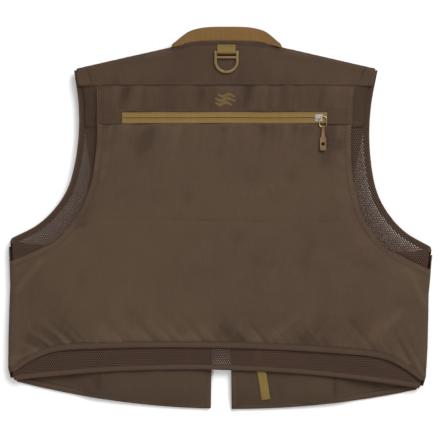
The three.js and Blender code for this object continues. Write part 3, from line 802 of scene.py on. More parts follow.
def mesh_finish(name, colour, pitch=2.9, hole=0.20):
    """Knitted mesh: rows of round holes, each second row set over by half a hole.

    pitch is from hole to hole in millimetres, and hole is a hole's radius as a share of it.
    """
    finish = Finish(name, Roughness=0.86, Sheen_Weight=0.03, Specular_IOR_Level=0.12)
    x, y, _ = finish.parts(finish.uv())
    rows_apart = 1.732  # between rows that aren't set over, in pitches: the square root of 3
    step, row = pitch * MM, pitch * MM * rows_apart
    nearest = None
    for shift in (0.0, 0.5):
        u = (x / step + shift).math("FRACT") - 0.5
        v = ((y / row + shift).math("FRACT") - 0.5) * rows_apart
        reach = (u * u + v * v).math("SQRT")
        nearest = reach if nearest is None else nearest.math("MINIMUM", reach)
    yarn = finish.noise(900.0, 2.0, None, (1.0, 0.35, 1.0))
    shade = finish.noise(26.0, 2.0)
    relief = finish.attribute("relief")
    base = finish.mix(shade.ramp(0.34, 0.66), times(colour, 0.86), times(colour, 1.14))
    base = finish.mix(yarn.ramp(0.42, 0.66) * 0.5, base, times(colour, 1.5))
    # Painted highlight on the mesh's raised folds.
    base = finish.mix(relief.ramp(0.1, 1.0) * 0.3, base, times(colour, 1.5))
    # The yarn is painted darker at the holes' rims and lighter between the holes: painted shade and
    # painted light.
    base = finish.mix(nearest.ramp(0.33, 0.50) * 0.8, base, times(colour, 3.4))
    finish.set("Base Color", base)
    finish.set("Alpha", nearest.ramp(hole - 0.04, hole + 0.04))
    finish.bump(yarn * 0.5 + nearest.ramp(hole, hole + 0.22), 0.25)
    return finish


def knit_finish(name, colour):
    """Rib knit: the ribs are in the mesh, and each carries small slanted stitches."""
    finish = Finish(name, Roughness=0.9, Sheen_Weight=0.06, Specular_IOR_Level=0.12)
    along, across, _ = finish.parts(finish.uv())
    lean = across / (1.1 * MM) + (along * (math.pi / (1.0 * MM))).math("SINE") * 0.35
    loops = (lean * (2 * math.pi)).math("SINE") * 0.5 + 0.5
    fuzz = finish.noise(1500.0, 3.0)
    shade = finish.noise(30.0, 2.0)
    relief = finish.attribute("relief")
    # Painted shade in the grooves between the ribs, and painted light on the ribs.
    base = finish.mix(relief.ramp(-0.9, 0.5), times(colour, 0.66), times(colour, 1.03))
    base = finish.mix(loops * 0.28, base, times(colour, 0.7))
    base = finish.mix(shade.ramp(0.35, 0.7) * 0.3, base, times(colour, 1.22))
    base = finish.mix(fuzz.ramp(0.55, 0.72) * 0.35, base, times(colour, 1.4))
    finish.set("Base Color", base)
    finish.bump(loops * 0.6 + fuzz * 0.6, 0.16)
    return finish


def moulded_finish(name, colour, rough=0.5, metal=0.0, grain=0.05, lightening=1.5):
    """Moulded plastic or plated metal: fine grain, small scratches and rubbed patches."""
    finish = Finish(name, Metallic=metal, Specular_IOR_Level=0.28)
    fine = finish.noise(1900.0, 3.0)
    patch = finish.noise(95.0, 3.0)
    scratch = finish.noise(700.0, 2.0, None, (1.0, 0.07, 0.07))
    base = finish.mix(patch.ramp(0.38, 0.66), times(colour, 0.86), times(colour, 1.1))
    base = finish.mix(scratch.ramp(0.60, 0.70) * 0.5, base, times(colour, lightening))
    finish.set("Base Color", base)
    finish.set("Roughness", patch * 0.22 + scratch.ramp(0.56, 0.72) * 0.12 + (rough - 0.12))
    finish.bump(fine * 0.6 + scratch * 0.4, grain)
    return finish


# Colours of the main materials. A tint is the shade that a cloth's slow changes lead to.
SHELL, SHELL_TINT = (0.0679, 0.0440, 0.0264), (0.0640, 0.0385, 0.0250)
YOKE_CLOTH, YOKE_TINT = (0.0560, 0.0335, 0.0205), (0.0510, 0.0300, 0.0190)
TAN, OLIVE = (0.162, 0.0886, 0.0305), (0.169, 0.114, 0.0322)
finishes = {
    "shell": cloth_finish("shell_nylon", SHELL, SHELL_TINT),
    "yoke": cloth_finish("yoke_nylon", YOKE_CLOTH, YOKE_TINT),
    "lining": cloth_finish("lining_weave", times(SHELL, 0.80), times(SHELL_TINT, 0.80),
                           (0.8, 0.7), depth=0.08),
    # The facing's cloth is the yoke's cloth darkened: painted shade, for where it lies between the
    # bindings.
    "facing": cloth_finish("facing_nylon", times(YOKE_CLOTH, 0.74), times(YOKE_TINT, 0.70)),
    "binding": cloth_finish("binding_weave", times(SHELL_TINT, 0.98), times(SHELL_TINT, 0.86),
                            (0.5, 1.1), True, 0.14, lightening=1.5),
    "mesh": mesh_finish("knitted_mesh", (0.026, 0.0150, 0.0100)),
    "knit": knit_finish("collar_rib_knit", TAN),
    "webbing": cloth_finish("webbing_weave", OLIVE, times(OLIVE, 0.84), (0.9, 1.5), False, 0.3,
                            0.7, lightening=1.25),
    "tape": cloth_finish("zip_tape_weave", (0.177, 0.113, 0.0354), (0.160, 0.100, 0.0310),
                         (0.5, 0.7), True, 0.06, 0.7, 0.0, lightening=1.2, blotch=0.08),
    "fastener": cloth_finish("hook_and_loop_tape", times(SHELL, 0.62), times(SHELL, 0.5),
                             (1.1, 1.1), False, 0.5, 0.95),
    "print": cloth_finish("emblem_print", (0.122, 0.082, 0.030), (0.108, 0.072, 0.027), depth=0.06,
                          rough=0.68, sheen=0.0),
    "thread": cloth_finish("sewing_thread", times(SHELL, 0.55), times(SHELL, 0.45), (0.2, 0.2),
                           depth=0.05, rough=0.6),
    "tan_thread": cloth_finish("tan_sewing_thread", times(OLIVE, 0.95), times(OLIVE, 0.8),
                               (0.2, 0.2), depth=0.05, rough=0.6),
    "coil": moulded_finish("zip_coil_nylon", (0.120, 0.078, 0.027), 0.45),
    "moulding": moulded_finish("tan_moulded_plastic", (0.150, 0.096, 0.034), 0.48),
    "pull": moulded_finish("pull_tab_plastic", (0.142, 0.084, 0.032), 0.5),
    "buckle": moulded_finish("buckle_plastic", (0.130, 0.084, 0.031), 0.5),
    "metal": moulded_finish("plated_slider_metal", (0.66, 0.64, 0.60), 0.30, 1.0, 0.03, 1.15),
    "wire": moulded_finish("bronze_wire", (0.42, 0.29, 0.13), 0.38, 1.0, 0.03, 1.3),
}

# ---------------------------------------------------------------- pieces

SIDES = (("right", 1), ("left", -1))
made = {}


def piece(name, mesh, finish, body="vest", nodes=(), thick=None):
    """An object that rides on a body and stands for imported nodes."""
    mesh.materials.append(finishes[finish].material)
    obj = bpy.data.objects.new(f"{name}_sewn" if name in frame["nodes"] else name, mesh)
    bpy.context.scene.collection.objects.link(obj)
    if thick:
        wall = obj.modifiers.new("wall", "SOLIDIFY")
        wall.thickness, wall.offset = thick * MM, 0
    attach(obj, body)
    if nodes:
        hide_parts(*nodes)
    made[name] = obj
    return obj


def bend_between(obj):
    """Takes a piece off its body: no parent, no body mark, and its place baked into its mesh."""
    obj.parent = None
    del obj["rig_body"]
    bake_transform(obj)


def cloth(name, outline, shape, finish, nodes=(), spacing=3.0, thick=CLOTH,
          body="vest", relief=None):
    """A sheet of cloth, cut to its outline."""
    mesh = cloth_mesh(name, outline, shape, spacing, relief=relief)
    obj = piece(name, mesh, finish, body, nodes, thick)
    size = outline.max(axis=0) - outline.min(axis=0)
    size * MM
    return obj


def grid_cloth(name, points, uv, finish, body, size, relief=0, wear=0,
               thick=CLOTH, flip=False):
    """A sheet of cloth from a grid of laid points."""
    faces = grid_faces(*points.shape[:2])
    if flip:
        faces = [f[::-1] for f in faces]
    count = points[..., 0].size
    mesh = make_mesh(name, points.reshape(-1, 3), faces, uv,
                     {"relief": np.broadcast_to(relief, count), "wear": np.broadcast_to(wear, count)})
    obj = piece(name, mesh, finish, body, [name], thick)
    return obj


def on_back(wrinkles, lift=0.0):
    """The shape of a panel of the back, which follows the side folds round."""

    def shape(x, y):
        height = back_height(np.minimum(np.abs(x), side_x(y) - FOLD), y)
        return round_side(x, y, height + wrinkles(x, y) + lift)

    return shape


# The pouch, from the zip down to its bound hem and round the sides.
FOLD_LENGTH = math.pi * FOLD
side_line = smooth_path(SIDE)
under_zip, over_zip = ZIP_MIDDLE - ZIP_HALF_WIDTH + 1, ZIP_MIDDLE + ZIP_HALF_WIDTH - 1
pouch_outline = both_halves(np.vstack([
    pouch_hem[pouch_hem[:, 0] < 285],
    rows(side_line, -222, -68) + [FOLD_LENGTH / 2 - FOLD + 1.5, 0],
    pouch_armhole[pouch_armhole[:, 1] < under_zip][3:],
    [(178.2, under_zip), (0, under_zip)],
]))
# Its relief paints light on the pouch's ridges and shade in its hollows, among them the dents round
# the pull tab.
cloth("back_pouch_panel", pouch_outline, on_back(pouch_wrinkles), "shell",
      ["back_pouch_panel"],
      relief=lambda x, y: pouch_wrinkles(x, y) - pouch_swell(x, y))

# The strip above the zip, and the two patches that cover the zip's ends.
strip_outline = both_halves(np.vstack([
    [(0, over_zip)], rows(pouch_armhole, over_zip, 186), [(180, 187), (0, 187)],
]))
cloth("back_strip", strip_outline, on_back(strip_wrinkles), "yoke", ["back_strip"],
      relief=strip_wrinkles)

for name, side in SIDES:
    patch = sided([(142, 131), (179, 131), (179, 150), (142, 150)], side)
    cloth(f"zip_end_patch_{name}", patch, on_back(strip_wrinkles, 0.15), "yoke",
          [f"zip_end_patch_{name}"], spacing=2.0, relief=strip_wrinkles)


def yoke_shape(x, y):
    """The yoke over the strip: a step up at its seam, with a line of stitching above it."""
    seam_lip = 1.2 * smoothstep((y - 184.6) / 1.2) - 0.5 * bell(y - 190, 1.2)
    height = back_height(x, np.minimum(y, 252))
    return round_shoulder(x, y, height + yoke_wrinkles(x, y) + seam_lip)


def past_shoulder(x, further):
    """Points that lie further out than the shoulder line."""
    return np.array([(v + shoulder_out[0] * further, shoulder(v) + shoulder_out[1] * further)
                     for v in x])


yoke_side = inset(rows(back_armhole, YOKE_SEAM - 1, 202), 2.0)
yoke_outline = both_halves(np.vstack([
    [(0, YOKE_SEAM - 1.5), (yoke_side[0][0], YOKE_SEAM - 1.5)], yoke_side,
    past_shoulder(np.linspace(208, 84, 40), FOLD_LENGTH / 2 - FOLD + 2),
    neck_line - [0, 1.5],
]))
# Its relief paints shade in the step below the collar and in the side seams' creases, and light on
# its ridges.
cloth("yoke", yoke_outline, yoke_shape, "yoke", ["yoke"],
      relief=lambda x, y: yoke_wrinkles(x, y) - yoke_swell(x, y))

lining_outline = both_halves(np.vstack([
    [(0, YOKE_SEAM + 2)], inset(rows(back_armhole, YOKE_SEAM + 2, 200), 2.5),
    past_shoulder(np.linspace(204, 86, 20), -7), [(70, 232), (0, 243)],
]))
cloth("yoke_lining", lining_outline,
      lambda x, y: (x, y, back_height(x, y) + 0.7 * yoke_wrinkles(x, y) - 2.6),
      "lining", ["yoke_lining"], 4.0)


# The mesh body under the panels, open to view along the armholes and the hem.
def mesh_shape(x, y):
    z = np.minimum(mesh_height(x, y), back_height(x, y) - PANEL_TO_MESH)
    return x, y, z + mesh_wrinkles(x, y)


hem_x = np.linspace(0, HEM_HALF_WIDTH - 3.5, 90)
mesh_side = rows(side_line, -229, -42) - [FOLD - 1.5, 0]
mesh_outline = both_halves(np.vstack([
    np.stack([hem_x, back_hem(hem_x) + 1], axis=1), mesh_side,
    inset(rows(back_armhole, -30, 187), 1.2), [(0, 187)],
]))
cloth("back_mesh_body", mesh_outline, mesh_shape, "mesh", ["back_mesh_body"],
      spacing=3.6, thick=None,
      relief=mesh_wrinkles)


# A facing of plain cloth lies on the mesh at the top of each armhole.
def facing_shape(x, y):
    fold = 0.8 * bell(y - 132, 1.6) + 0.5 * noise1(x / 4.5, 91)
    return x, y, mesh_height(x, y) + mesh_wrinkles(x, y) + 0.9 + fold


for name, side in SIDES:
    inner = rows(pouch_armhole, 126.5, 186) - [7, 0]
    outer = inset(rows(back_armhole, 126.5, 186), ARMHOLE_BINDING - 1.5)
    facing = sided(np.vstack([inner, outer[::-1]]), side)
    cloth(f"armhole_facing_{name}", facing, facing_shape, "facing", spacing=2.0,
          relief=lambda x, y: facing_shape(x, y)[2] - mesh_height(x, y) - 1)


# ---------------------------------------------------------------- fronts, sides and shoulders

for name, side in SIDES:
    edge_rows = np.linspace(FRONT_EDGE_TOP, FRONT_HEM + 1.5, 60)
    edge = np.stack([[front_edge(y, side) + 1.5 for y in edge_rows], edge_rows], axis=1)
    hem_across = np.linspace(front_edge(FRONT_HEM, side) + 2, HEM_HALF_WIDTH - 6, 60)
    hem = np.stack([hem_across, front_hem(hem_across) + 1.5], axis=1)
    front_side = rows(side_line, -226, -46) - [FOLD, 0]
    armhole = inset(rows(front_armhole_of(side), -45, 176), 1.8)
    top = [(190, 178), (72, 206), (57, 204), (35, 174)]
    outline = sided(np.vstack([hem, front_side, armhole, top, edge]), side)

    def shell_shape(x, y):
        return x, y, front_height(x, y) + 0.5 * front_wrinkles(x, y)

    def lining_shape(x, y):
        return x, y, front_height(x, y) + LINING_LIFT + front_wrinkles(x, y)

    cloth(f"front_shell_{name}", outline, shell_shape, "shell", [f"front_shell_{name}"],
          4.2, relief=front_wrinkles)
    cloth(f"front_lining_{name}", outline, lining_shape, "lining",
          [f"front_lining_{name}"], 4.2, relief=front_wrinkles)

    # The half-round side, from the pouch's edge to the front.
    line = rows(side_line, -231, -44)
    angles = np.linspace(0.30 * math.pi, math.pi, 12)
    across = np.concatenate([FOLD * angles - 0.3, [FOLD_LENGTH + 3, FOLD_LENGTH + 7]])
    px = line[:, None, 0] - FOLD + across[None, :]
    py = np.repeat(line[:, 1:2], len(across), axis=1)
    top_z = back_height(line[:, 0] - FOLD, line[:, 1]) - 0.35
    folds = 0.35 * noise1(py / 15, 81 + side) + 0.2 * noise1(py / 6.1, 83 + side)
    x, y, z = round_side(px, py, np.repeat(top_z[:, None], len(across), axis=1))
    ring = lay_rings(np.stack([x + folds * 0.7, y, np.maximum(z, 1.5)], axis=-1), side)
    # Its folds are painted lighter on their ridges and darker between them, through the relief.
    grid_cloth(f"side_panel_{name}", ring, np.stack([px.ravel(), py.ravel()], axis=1), "shell",
               "vest", [across[-1] - across[0], line[-1, 1] - line[0, 1]],
               relief=folds.ravel() * 2, flip=side < 0)

    # The shoulder, round its fold and down the front to the yoke's front seam.
    reach = np.concatenate([np.linspace(0.38 * math.pi, math.pi, 11) * FOLD,
                            FOLD_LENGTH + np.linspace(3, FRONT_YOKE_DEPTH - FOLD, 9)])
    stations = np.linspace(207, 76, 60)
    base = past_shoulder(stations, 0)
    px = base[:, None, 0] + shoulder_out[0] * (reach[None, :] - FOLD)
    py = base[:, None, 1] + shoulder_out[1] * (reach[None, :] - FOLD)
    top_z = back_height(base[:, 0], base[:, 1]) - 0.5
    x, y, z = round_shoulder(px, py, np.repeat(top_z[:, None], len(reach), axis=1))
    z = np.maximum(z + 0.4 * noise2(px / 19, py / 19, 87), 1.4)
    ring = lay_rings(np.stack([x, y, z], axis=-1), side)
    grid_cloth(f"shoulder_{name}", ring, np.stack([px.ravel(), py.ravel()], axis=1), "yoke",
               "vest", [np.linalg.norm(base[-1] - base[0]), reach[-1] - reach[0]],
               flip=side > 0)


# ---------------------------------------------------------------- bindings


def at_height(points, height):
    """Pattern points with their height, or heights, added."""
    return np.column_stack([points, np.broadcast_to(height, len(points))])


def half_turn(start, end, out, count=9):
    """Points of a half circle from one 3-D point to another, which bulges towards out."""
    start, end, out = (np.asarray(v, float) for v in (start, end, out))
    middle, arm = (start + end) / 2, (start - end) / 2
    angles = np.linspace(0, math.pi, count + 2)[1:-1]
    radius = np.linalg.norm(arm)
    return np.array([middle + arm * math.cos(a) + out * radius * math.sin(a) for a in angles])


def fold_drop(points):
    """How far the side fold has dropped at each point of the back."""
    reach = np.abs(points[:, 0]) - (side_x(points[:, 1]) - FOLD)
    return FOLD - np.sqrt(np.clip(FOLD**2 - np.clip(reach, 0, FOLD) ** 2, 0, None))


def armhole_loop(side):
    """The edge of an armhole: up the back, round the shoulder fold, down the front, and round."""
    back = rows(back_armhole, -33, 203)
    back = at_height(back, mesh_height(*back.T) + 0.2)
    front = rows(front_armhole_of(side), -50, 203)[::-1]
    front = front[front[:, 0] < 292]
    front = at_height(front, front_height(*front.T) + 0.8)
    shoulder_turn = half_turn(back[-1], front[0], (*shoulder_out, 0))
    underarm = half_turn(front[-1], back[0], (0.3, 0, 0))
    return resample(np.vstack([back, shoulder_turn, front, underarm, back[:1]]), 2.0)[:-1]


bindings = {}


def add_binding(name, *sizes, **more):
    """A binding of the vest's own body, from band_mesh's sizes."""
    bindings[name] = piece(name, band_mesh(name, *sizes, **more), "binding", "vest", [name])


pouch_armhole_path = rows(pouch_armhole, -66.4, YOKE_SEAM - 0.5)
pouch_armhole_path = at_height(pouch_armhole_path, back_height(*pouch_armhole_path.T) + 0.8
                               - fold_drop(pouch_armhole_path))
for name, side in SIDES:
    seed = 100 + side
    add_binding(f"armhole_binding_{name}", armhole_loop(side), (-1, 0, 0), ARMHOLE_BINDING, 1.3,
                side, True, seed)
    add_binding(f"pouch_armhole_binding_{name}", pouch_armhole_path, (-1, 0, 0), POUCH_BINDING,
                1.25, side, False, seed + 10)

    start = front_edge(FRONT_HEM, side) + HEM_BINDING - 3
    hem_x = np.linspace(start, HEM_HALF_WIDTH - 7, 120)
    path = np.column_stack([hem_x, front_hem(hem_x), front_height(hem_x, front_hem(hem_x)) + 0.7])
    add_binding(f"front_hem_binding_{name}", path, (0, 1, 0), HEM_BINDING - 1.5, 1.9, side,
                False, seed + 20)
    edge_y = np.linspace(FRONT_EDGE_TOP - 1, FRONT_HEM + 0.5, 200)
    path = np.column_stack([[front_edge(y, side) for y in edge_y], edge_y,
                            front_height(front_edge(edge_y, side), edge_y) + 0.75])
    add_binding(f"front_edge_binding_{name}", path, (1, 0, 0), HEM_BINDING - 1, 1.95, side,
                False, seed + 30)

both_hem = both_halves(pouch_hem)
both_hem = resample(both_hem[np.argsort(both_hem[:, 0])], 2.0)
both_hem = both_hem[np.abs(both_hem[:, 0]) < 286.5]
wave = 0.4 * noise1(both_hem[:, 0] / 24, 7)
path = at_height(both_hem, back_height(*both_hem.T) - fold_drop(both_hem) + 0.25 + wave)
add_binding("pouch_hem_binding", path, (0, 1, 0), POUCH_BINDING, 1.35, seed=141, pucker=0.45)

hem_x = np.linspace(-HEM_HALF_WIDTH + 5, HEM_HALF_WIDTH - 5, 290)
path = np.column_stack([hem_x, back_hem(hem_x), mesh_shape(hem_x, back_hem(hem_x))[2]])
add_binding("back_hem_binding", path, (0, 1, 0), 8.0, 1.2, seed=151)

# The tan strip inside the right front.
INNER_STRIP = [(48, -146), (55, -185), (62.5, -216), (69.5, -253)]
INNER_STRIP_SECTION = [(-1, 0), (-0.97, 0.9), (-0.6, 1.1), (0, 1.0), (0.6, 1.1), (0.97, 0.9),
                       (1, 0), (0, -0.2)]
INNER_STRIP_HALF_WIDTH, INNER_STRIP_THICKNESS = 6.4, 0.8
strip_path = smooth_path(INNER_STRIP, 1.5)
_, inward = frames_along(at_height(strip_path, 0), (-1, 0, 0))
ring = []
for u, w in INNER_STRIP_SECTION:
    place = strip_path + inward[:, :2] * INNER_STRIP_HALF_WIDTH * u
    z = front_height(*place.T) + LINING_LIFT + 0.7 + w * INNER_STRIP_THICKNESS
    ring.append(np.column_stack([place, z]))
plain = np.zeros(len(strip_path) * len(INNER_STRIP_SECTION))
mesh = loft_mesh("inner_webbing_strip", lay_rings(np.stack(ring, axis=1)),
                 attributes={"wear": plain, "relief": plain})
piece("inner_webbing_strip", mesh, "webbing", "vest", ["inner_webbing_strip"])

# ---------------------------------------------------------------- collar

SEAM_SIDE = [(13, 161, 6.2), (35, 177, 7), (57, 206, 8.2), (70, 230, 10.0), (76, 238.6, 14.2),
             (73, 239.3, 17.8), (60, 242.5, 19.0), (40, 245, 19.7), (20, 246, 20.0), (0, 246.2, 20.1)]
FREE_SIDE = [(13, 183, 6.2), (24, 197, 7.4), (44, 223, 8.8), (60, 243, 10.5), (73, 246.5, 13.4),
             (76.5, 241.5, 16.2), (67, 251, 16.9), (53, 261.5, 17.1), (35, 266.5, 17.3),
             (18, 267.8, 17.4), (0, 268, 17.4)]
RIB, RIB_DEPTH, COLLAR_HALF_THICKNESS, COLLAR_WIDTH = 1.75, 0.22, 1.15, 21.0
COLLAR_STATIONS = 1100
# Half of its section: share of the way to the free side, and share of the thickness.
COLLAR_SECTION = [(0.0, 0.35), (0.04, 0.8), (0.15, 1.0), (0.35, 1.0), (0.6, 1.0), (0.82, 1.0),
                  (0.93, 0.86), (0.985, 0.5), (1.0, 0.0)]


def collar_rail(right):
    """One edge of the collar, from its left end round the neck to its right end."""
    half = smooth_path(right, 0.5)
    return evenly(np.vstack([half * [-1, 1, 1], half[::-1][1:]]), COLLAR_STATIONS)


seam_rail, free_rail = collar_rail(SEAM_SIDE), collar_rail(FREE_SIDE)
collar_walk = walk_along(seam_rail)
ribs = np.cos(2 * math.pi * collar_walk / RIB)
span = free_rail - seam_rail
along = np.gradient((free_rail + seam_rail) / 2, axis=0)
normal = np.cross(along, span)
normal /= np.linalg.norm(normal, axis=1)[:, None]
rings = []
for u, w in COLLAR_SECTION + [(u, -w) for u, w in COLLAR_SECTION[-2::-1]]:
    rib = ribs * RIB_DEPTH * min(1.0, abs(w) * 1.2)
    height = w * COLLAR_HALF_THICKNESS + math.copysign(1, w or 1) * rib
    rings.append(seam_rail + span * u + normal * height[:, None])
# The ribs' wave is the relief: painted shade in the grooves and painted light on the ribs.
ridge = np.repeat(ribs, len(rings))
upwards = normal[COLLAR_STATIONS // 2, 2] > 0
mesh = loft_mesh("collar", lay_rings(np.stack(rings, axis=1)), flip=upwards,
                 attributes={"relief": ridge, "wear": ridge * 0})
collar = piece("collar", mesh, "knit", "vest", ["collar"])

# ---------------------------------------------------------------- zip

ZIP_TOP = BACK_TOP + 0.75
COIL_HEIGHT, COIL_AWAY, COIL_STEP = BACK_TOP - 0.9, 1.25, 1.15
# Away from the zip's middle, and height above its top.
TAPE_SECTION = [(0.0, -0.7), (0.0, 0.1), (0.35, 0.62), (0.95, 0.74), (1.6, 0.42), (2.4, 0.22),
                (4.2, 0.26), (6.2, 0.30), (7.2, 0.26), (7.5, 0.0), (7.4, -0.3), (3.0, -0.4)]
TAPES = (("upper", 1), ("lower", -1))
zip_x = np.arange(-ZIP_HALF_LENGTH, ZIP_HALF_LENGTH + 0.1, 1.0)
for name, way in TAPES:
    ring = []
    for u, w in TAPE_SECTION:
        wave = 0.10 * noise1(zip_x / 26, 161) + 0.25 * noise1(zip_x / 60, 163)
        away = ZIP_SLOT / 2 + u * (1 + 0.018 * noise1(zip_x / 19, 165 + way))
        lift = w + 0.16 * noise1(zip_x / 11, 167 + way) * min(u / 4, 1)
        ring.append(np.column_stack([zip_x, ZIP_MIDDLE + wave + way * away, ZIP_TOP + lift]))
    # A painted highlight on the tape's raised bead beside the coil.
    values = np.tile([0.9 if 0.3 < u < 1.2 else 0.0 for u, _ in TAPE_SECTION], len(zip_x))
    mesh = loft_mesh(f"zip_tape_{name}", lay_rings(np.stack(ring, axis=1)), flip=way < 0,
                     attributes={"relief": values, "wear": values * 0})
    piece(f"zip_tape_{name}", mesh, "tape", "vest", [f"zip_tape_{name}"])


def path_mesh(name, paths):
    """Open lines of laid points in millimetres, as bare edges."""
    points, edges = [], []
    for path in paths:
        first = len(points)
        points += (np.asarray(path, float) * MM).tolist()
        edges += [(i, i + 1) for i in range(first, len(points) - 1)]
    mesh = bpy.data.meshes.new(name)
    mesh.from_pydata(points, edges, [])
    return mesh


def repeated_along(name, paths, finish, slot, make_link, step, nodes=(), **sizes):
    """A piece of small links, one every step millimetres along each path, by Geometry Nodes."""
    group = bpy.data.node_groups.new(name, "GeometryNodeTree")
    group.interface.new_socket("Path", in_out="INPUT", socket_type="NodeSocketGeometry")
    inputs = {}
    for key, value in {"Step": step, **sizes}.items():
        socket = group.interface.new_socket(key, in_out="INPUT", socket_type="NodeSocketFloat")
        inputs[key] = (socket.identifier, value * MM)
    group.interface.new_socket("Links", in_out="OUTPUT", socket_type="NodeSocketGeometry")
    tree = Tree(group)
    start = group.nodes.new("NodeGroupInput")
    size = {key: Socket(tree, start.outputs[key]) for key in inputs}
    curve = tree.node("GeometryNodeMeshToCurve", None, {0: Socket(tree, start.outputs["Path"])})
    curve = tree.node("GeometryNodeResampleCurve", {"mode": "LENGTH"},
                      {"Curve": curve, "Length": size["Step"]})
    tangent = tree.node("GeometryNodeInputTangent")
    turn = tree.node("FunctionNodeAlignRotationToVector", {"axis": "X"}, {"Vector": tangent})
    link = make_link(tree, size)
    spread = tree.node("GeometryNodeInstanceOnPoints", None,
                       {"Points": curve, "Instance": link, "Rotation": turn})
    whole = tree.node("GeometryNodeRealizeInstances", None, {0: spread})
    smooth = tree.node("GeometryNodeSetShadeSmooth", None, {0: whole})
    coloured = tree.node("GeometryNodeSetMaterial", None,
                         {"Geometry": smooth, "Material": finishes[finish].material})
    end = group.nodes.new("NodeGroupOutput")
    group.links.new(coloured.link, end.inputs[0])

    carrier = bpy.data.objects.new(f"{name}_path", path_mesh(f"{name}_path", paths))
    bpy.context.scene.collection.objects.link(carrier)
    modifier = carrier.modifiers.new("links", "NODES")
    modifier.node_group = group
    for identifier, value in inputs.values():
        modifier[identifier] = value
    evaluated = carrier.evaluated_get(bpy.context.evaluated_depsgraph_get())
    mesh = bpy.data.meshes.new_from_object(evaluated)
    bpy.data.objects.remove(carrier)
    mesh.name = name
    obj = bpy.data.objects.new(name, mesh)
    bpy.context.scene.collection.objects.link(obj)
    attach(obj, "vest")
    if nodes:
        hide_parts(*nodes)


def stitch_link(tree, size):
    """One stitch: a short thread that dips into the cloth at both ends."""
    bead = tree.node("GeometryNodeMeshIcoSphere", None, {"Radius": 1.0, "Subdivisions": 1})
    scale = tree.node("ShaderNodeCombineXYZ", None,
                      {0: size["Length"], 1: size["Thread"], 2: size["Thread"] * 0.75})
    return tree.node("GeometryNodeTransform", None, {"Geometry": bead, "Scale": scale})


COIL_SLANT, COIL_FLATNESS = 0.16, 0.42


def coil_link(tree, size):
    """One turn of a zip coil: a flattened loop that stands across the tape, a little askew."""
    ring = tree.node("GeometryNodeCurvePrimitiveCircle", None,
                     {"Resolution": 10, "Radius": size["Width"] * 0.5})
    thread = tree.node("GeometryNodeCurvePrimitiveCircle", None,
                       {"Resolution": 5, "Radius": size["Thread"]})
    turn = tree.node("GeometryNodeCurveToMesh", None, {0: ring, 1: thread})
    return tree.node("GeometryNodeTransform", None,
                     {"Geometry": turn, "Rotation": (math.pi / 2, 0.0, math.pi / 2 - COIL_SLANT),
                      "Scale": (1.0, 1.0, COIL_FLATNESS)})


for name, way in TAPES:
    x, y = lay(zip_x, np.full_like(zip_x, ZIP_MIDDLE + way * COIL_AWAY))
    line = np.column_stack([x, y, np.full_like(x, COIL_HEIGHT)])
    repeated_along(f"zip_coil_{name}_turns", [line], "coil", "zip_coil", coil_link, COIL_STEP,
                   [f"zip_coil_{name}"], Width=2.4, Thread=0.26)


# ---------------------------------------------------------------- hardware


SAME_POINT = 2e-5  # metres
FLAT_ANGLE, ROUNDED_ANGLE = math.radians(2), math.radians(28)


def refined(node, finish, body, slot, rounding, segments=3):
    """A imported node's shape with merged faces and edges rounded to a radius in millimetres."""
    shape = bmesh.new()
    shape.from_mesh(frame["nodes"][node].data)
    bmesh.ops.remove_doubles(shape, verts=shape.verts, dist=SAME_POINT)
    bmesh.ops.dissolve_limit(shape, angle_limit=FLAT_ANGLE, verts=shape.verts, edges=shape.edges)
    mesh = bpy.data.meshes.new(f"{node}_refined")
    shape.to_mesh(mesh)
    shape.free()
    mesh.materials.clear()
    mesh.polygons.foreach_set("use_smooth", [True] * len(mesh.polygons))
    for key in ("relief", "wear"):
        mesh.attributes.new(key, "FLOAT", "POINT")
    obj = piece(f"{node}_refined", mesh, finish, body, [node])
    bevel = obj.modifiers.new("rounding", "BEVEL")
    bevel.width, bevel.segments = rounding * MM, segments
    bevel.limit_method, bevel.angle_limit = "ANGLE", ROUNDED_ANGLE
    obj.modifiers.new("even_shading", "WEIGHTED_NORMAL")
    return obj


for sizes in (
    ("zip_slider", "metal", "slider", "slider_metal", 0.35),
    ("zip_stop_right", "coil", "vest", "slider_metal", 0.15),
    ("zip_stop_left", "coil", "vest", "slider_metal", 0.15),
    ("zip_pull_tab", "pull", "pull_tab", "pull_moulding", 0.45),
    ("net_ring_webbing", "webbing", "vest", "webbing", 0.25),
    ("buckle_socket", "buckle", "vest", "buckle_moulding", 0.6),
    ("buckle_plug", "buckle", "buckle_plug", "buckle_moulding", 0.5),
    ("sternum_strap_left", "webbing", "vest", "webbing", 0.2),
):
    refined(*sizes)

# The real strap of the plug crumples towards its sewn end when the buckle opens; here it is only
# taken off its body.
strap_right = refined("sternum_strap_right", "webbing", "vest", "webbing", 0.2)
low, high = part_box("sternum_strap_right")
bend_between(strap_right)


def wire_ring():
    """The pull's wire: a round rod bent to a rounded oblong."""
    steps_to_a_corner, sides = 8, 12
    low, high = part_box("zip_pull_ring")
    wire = (high.z - low.z) / 2
    centre = (low + high) / 2
    half_x, half_y = (high.x - low.x) / 2 - wire, (high.y - low.y) / 2 - wire
    corner = half_x * 0.82
    path = []
    for quarter, (sx, sy) in enumerate(((1, 1), (-1, 1), (-1, -1), (1, -1))):
        for step in range(steps_to_a_corner + 1):
            angle = (quarter + step / steps_to_a_corner) * math.pi / 2
            path.append((centre.x + sx * (half_x - corner) + corner * math.cos(angle),
                         centre.y + sy * (half_y - corner) + corner * math.sin(angle), centre.z))
    path = resample(np.array(path + path[:1]) / MM, 0.7)[:-1]
    tangent, across = frames_along(path, (1, 0, 0), True)
    up = np.cross(tangent, across)
    radius = 1.25 * wire / MM
    rings = [path + across * radius * math.cos(a) + up * radius * math.sin(a)
             for a in np.linspace(0, 2 * math.pi, sides + 1)[:-1]]
    return loft_mesh("zip_pull_wire", np.stack(rings, axis=1), loop=True, flip=True)


piece("zip_pull_wire", wire_ring(), "wire", "pull_ring", ["zip_pull_ring"])


ROD_STEP, ROD_SIDES, ROD_END = 0.6, 20, 1.5
ROD_SQUARENESS = 0.62  # 1 makes a round rod, and less a squarer one


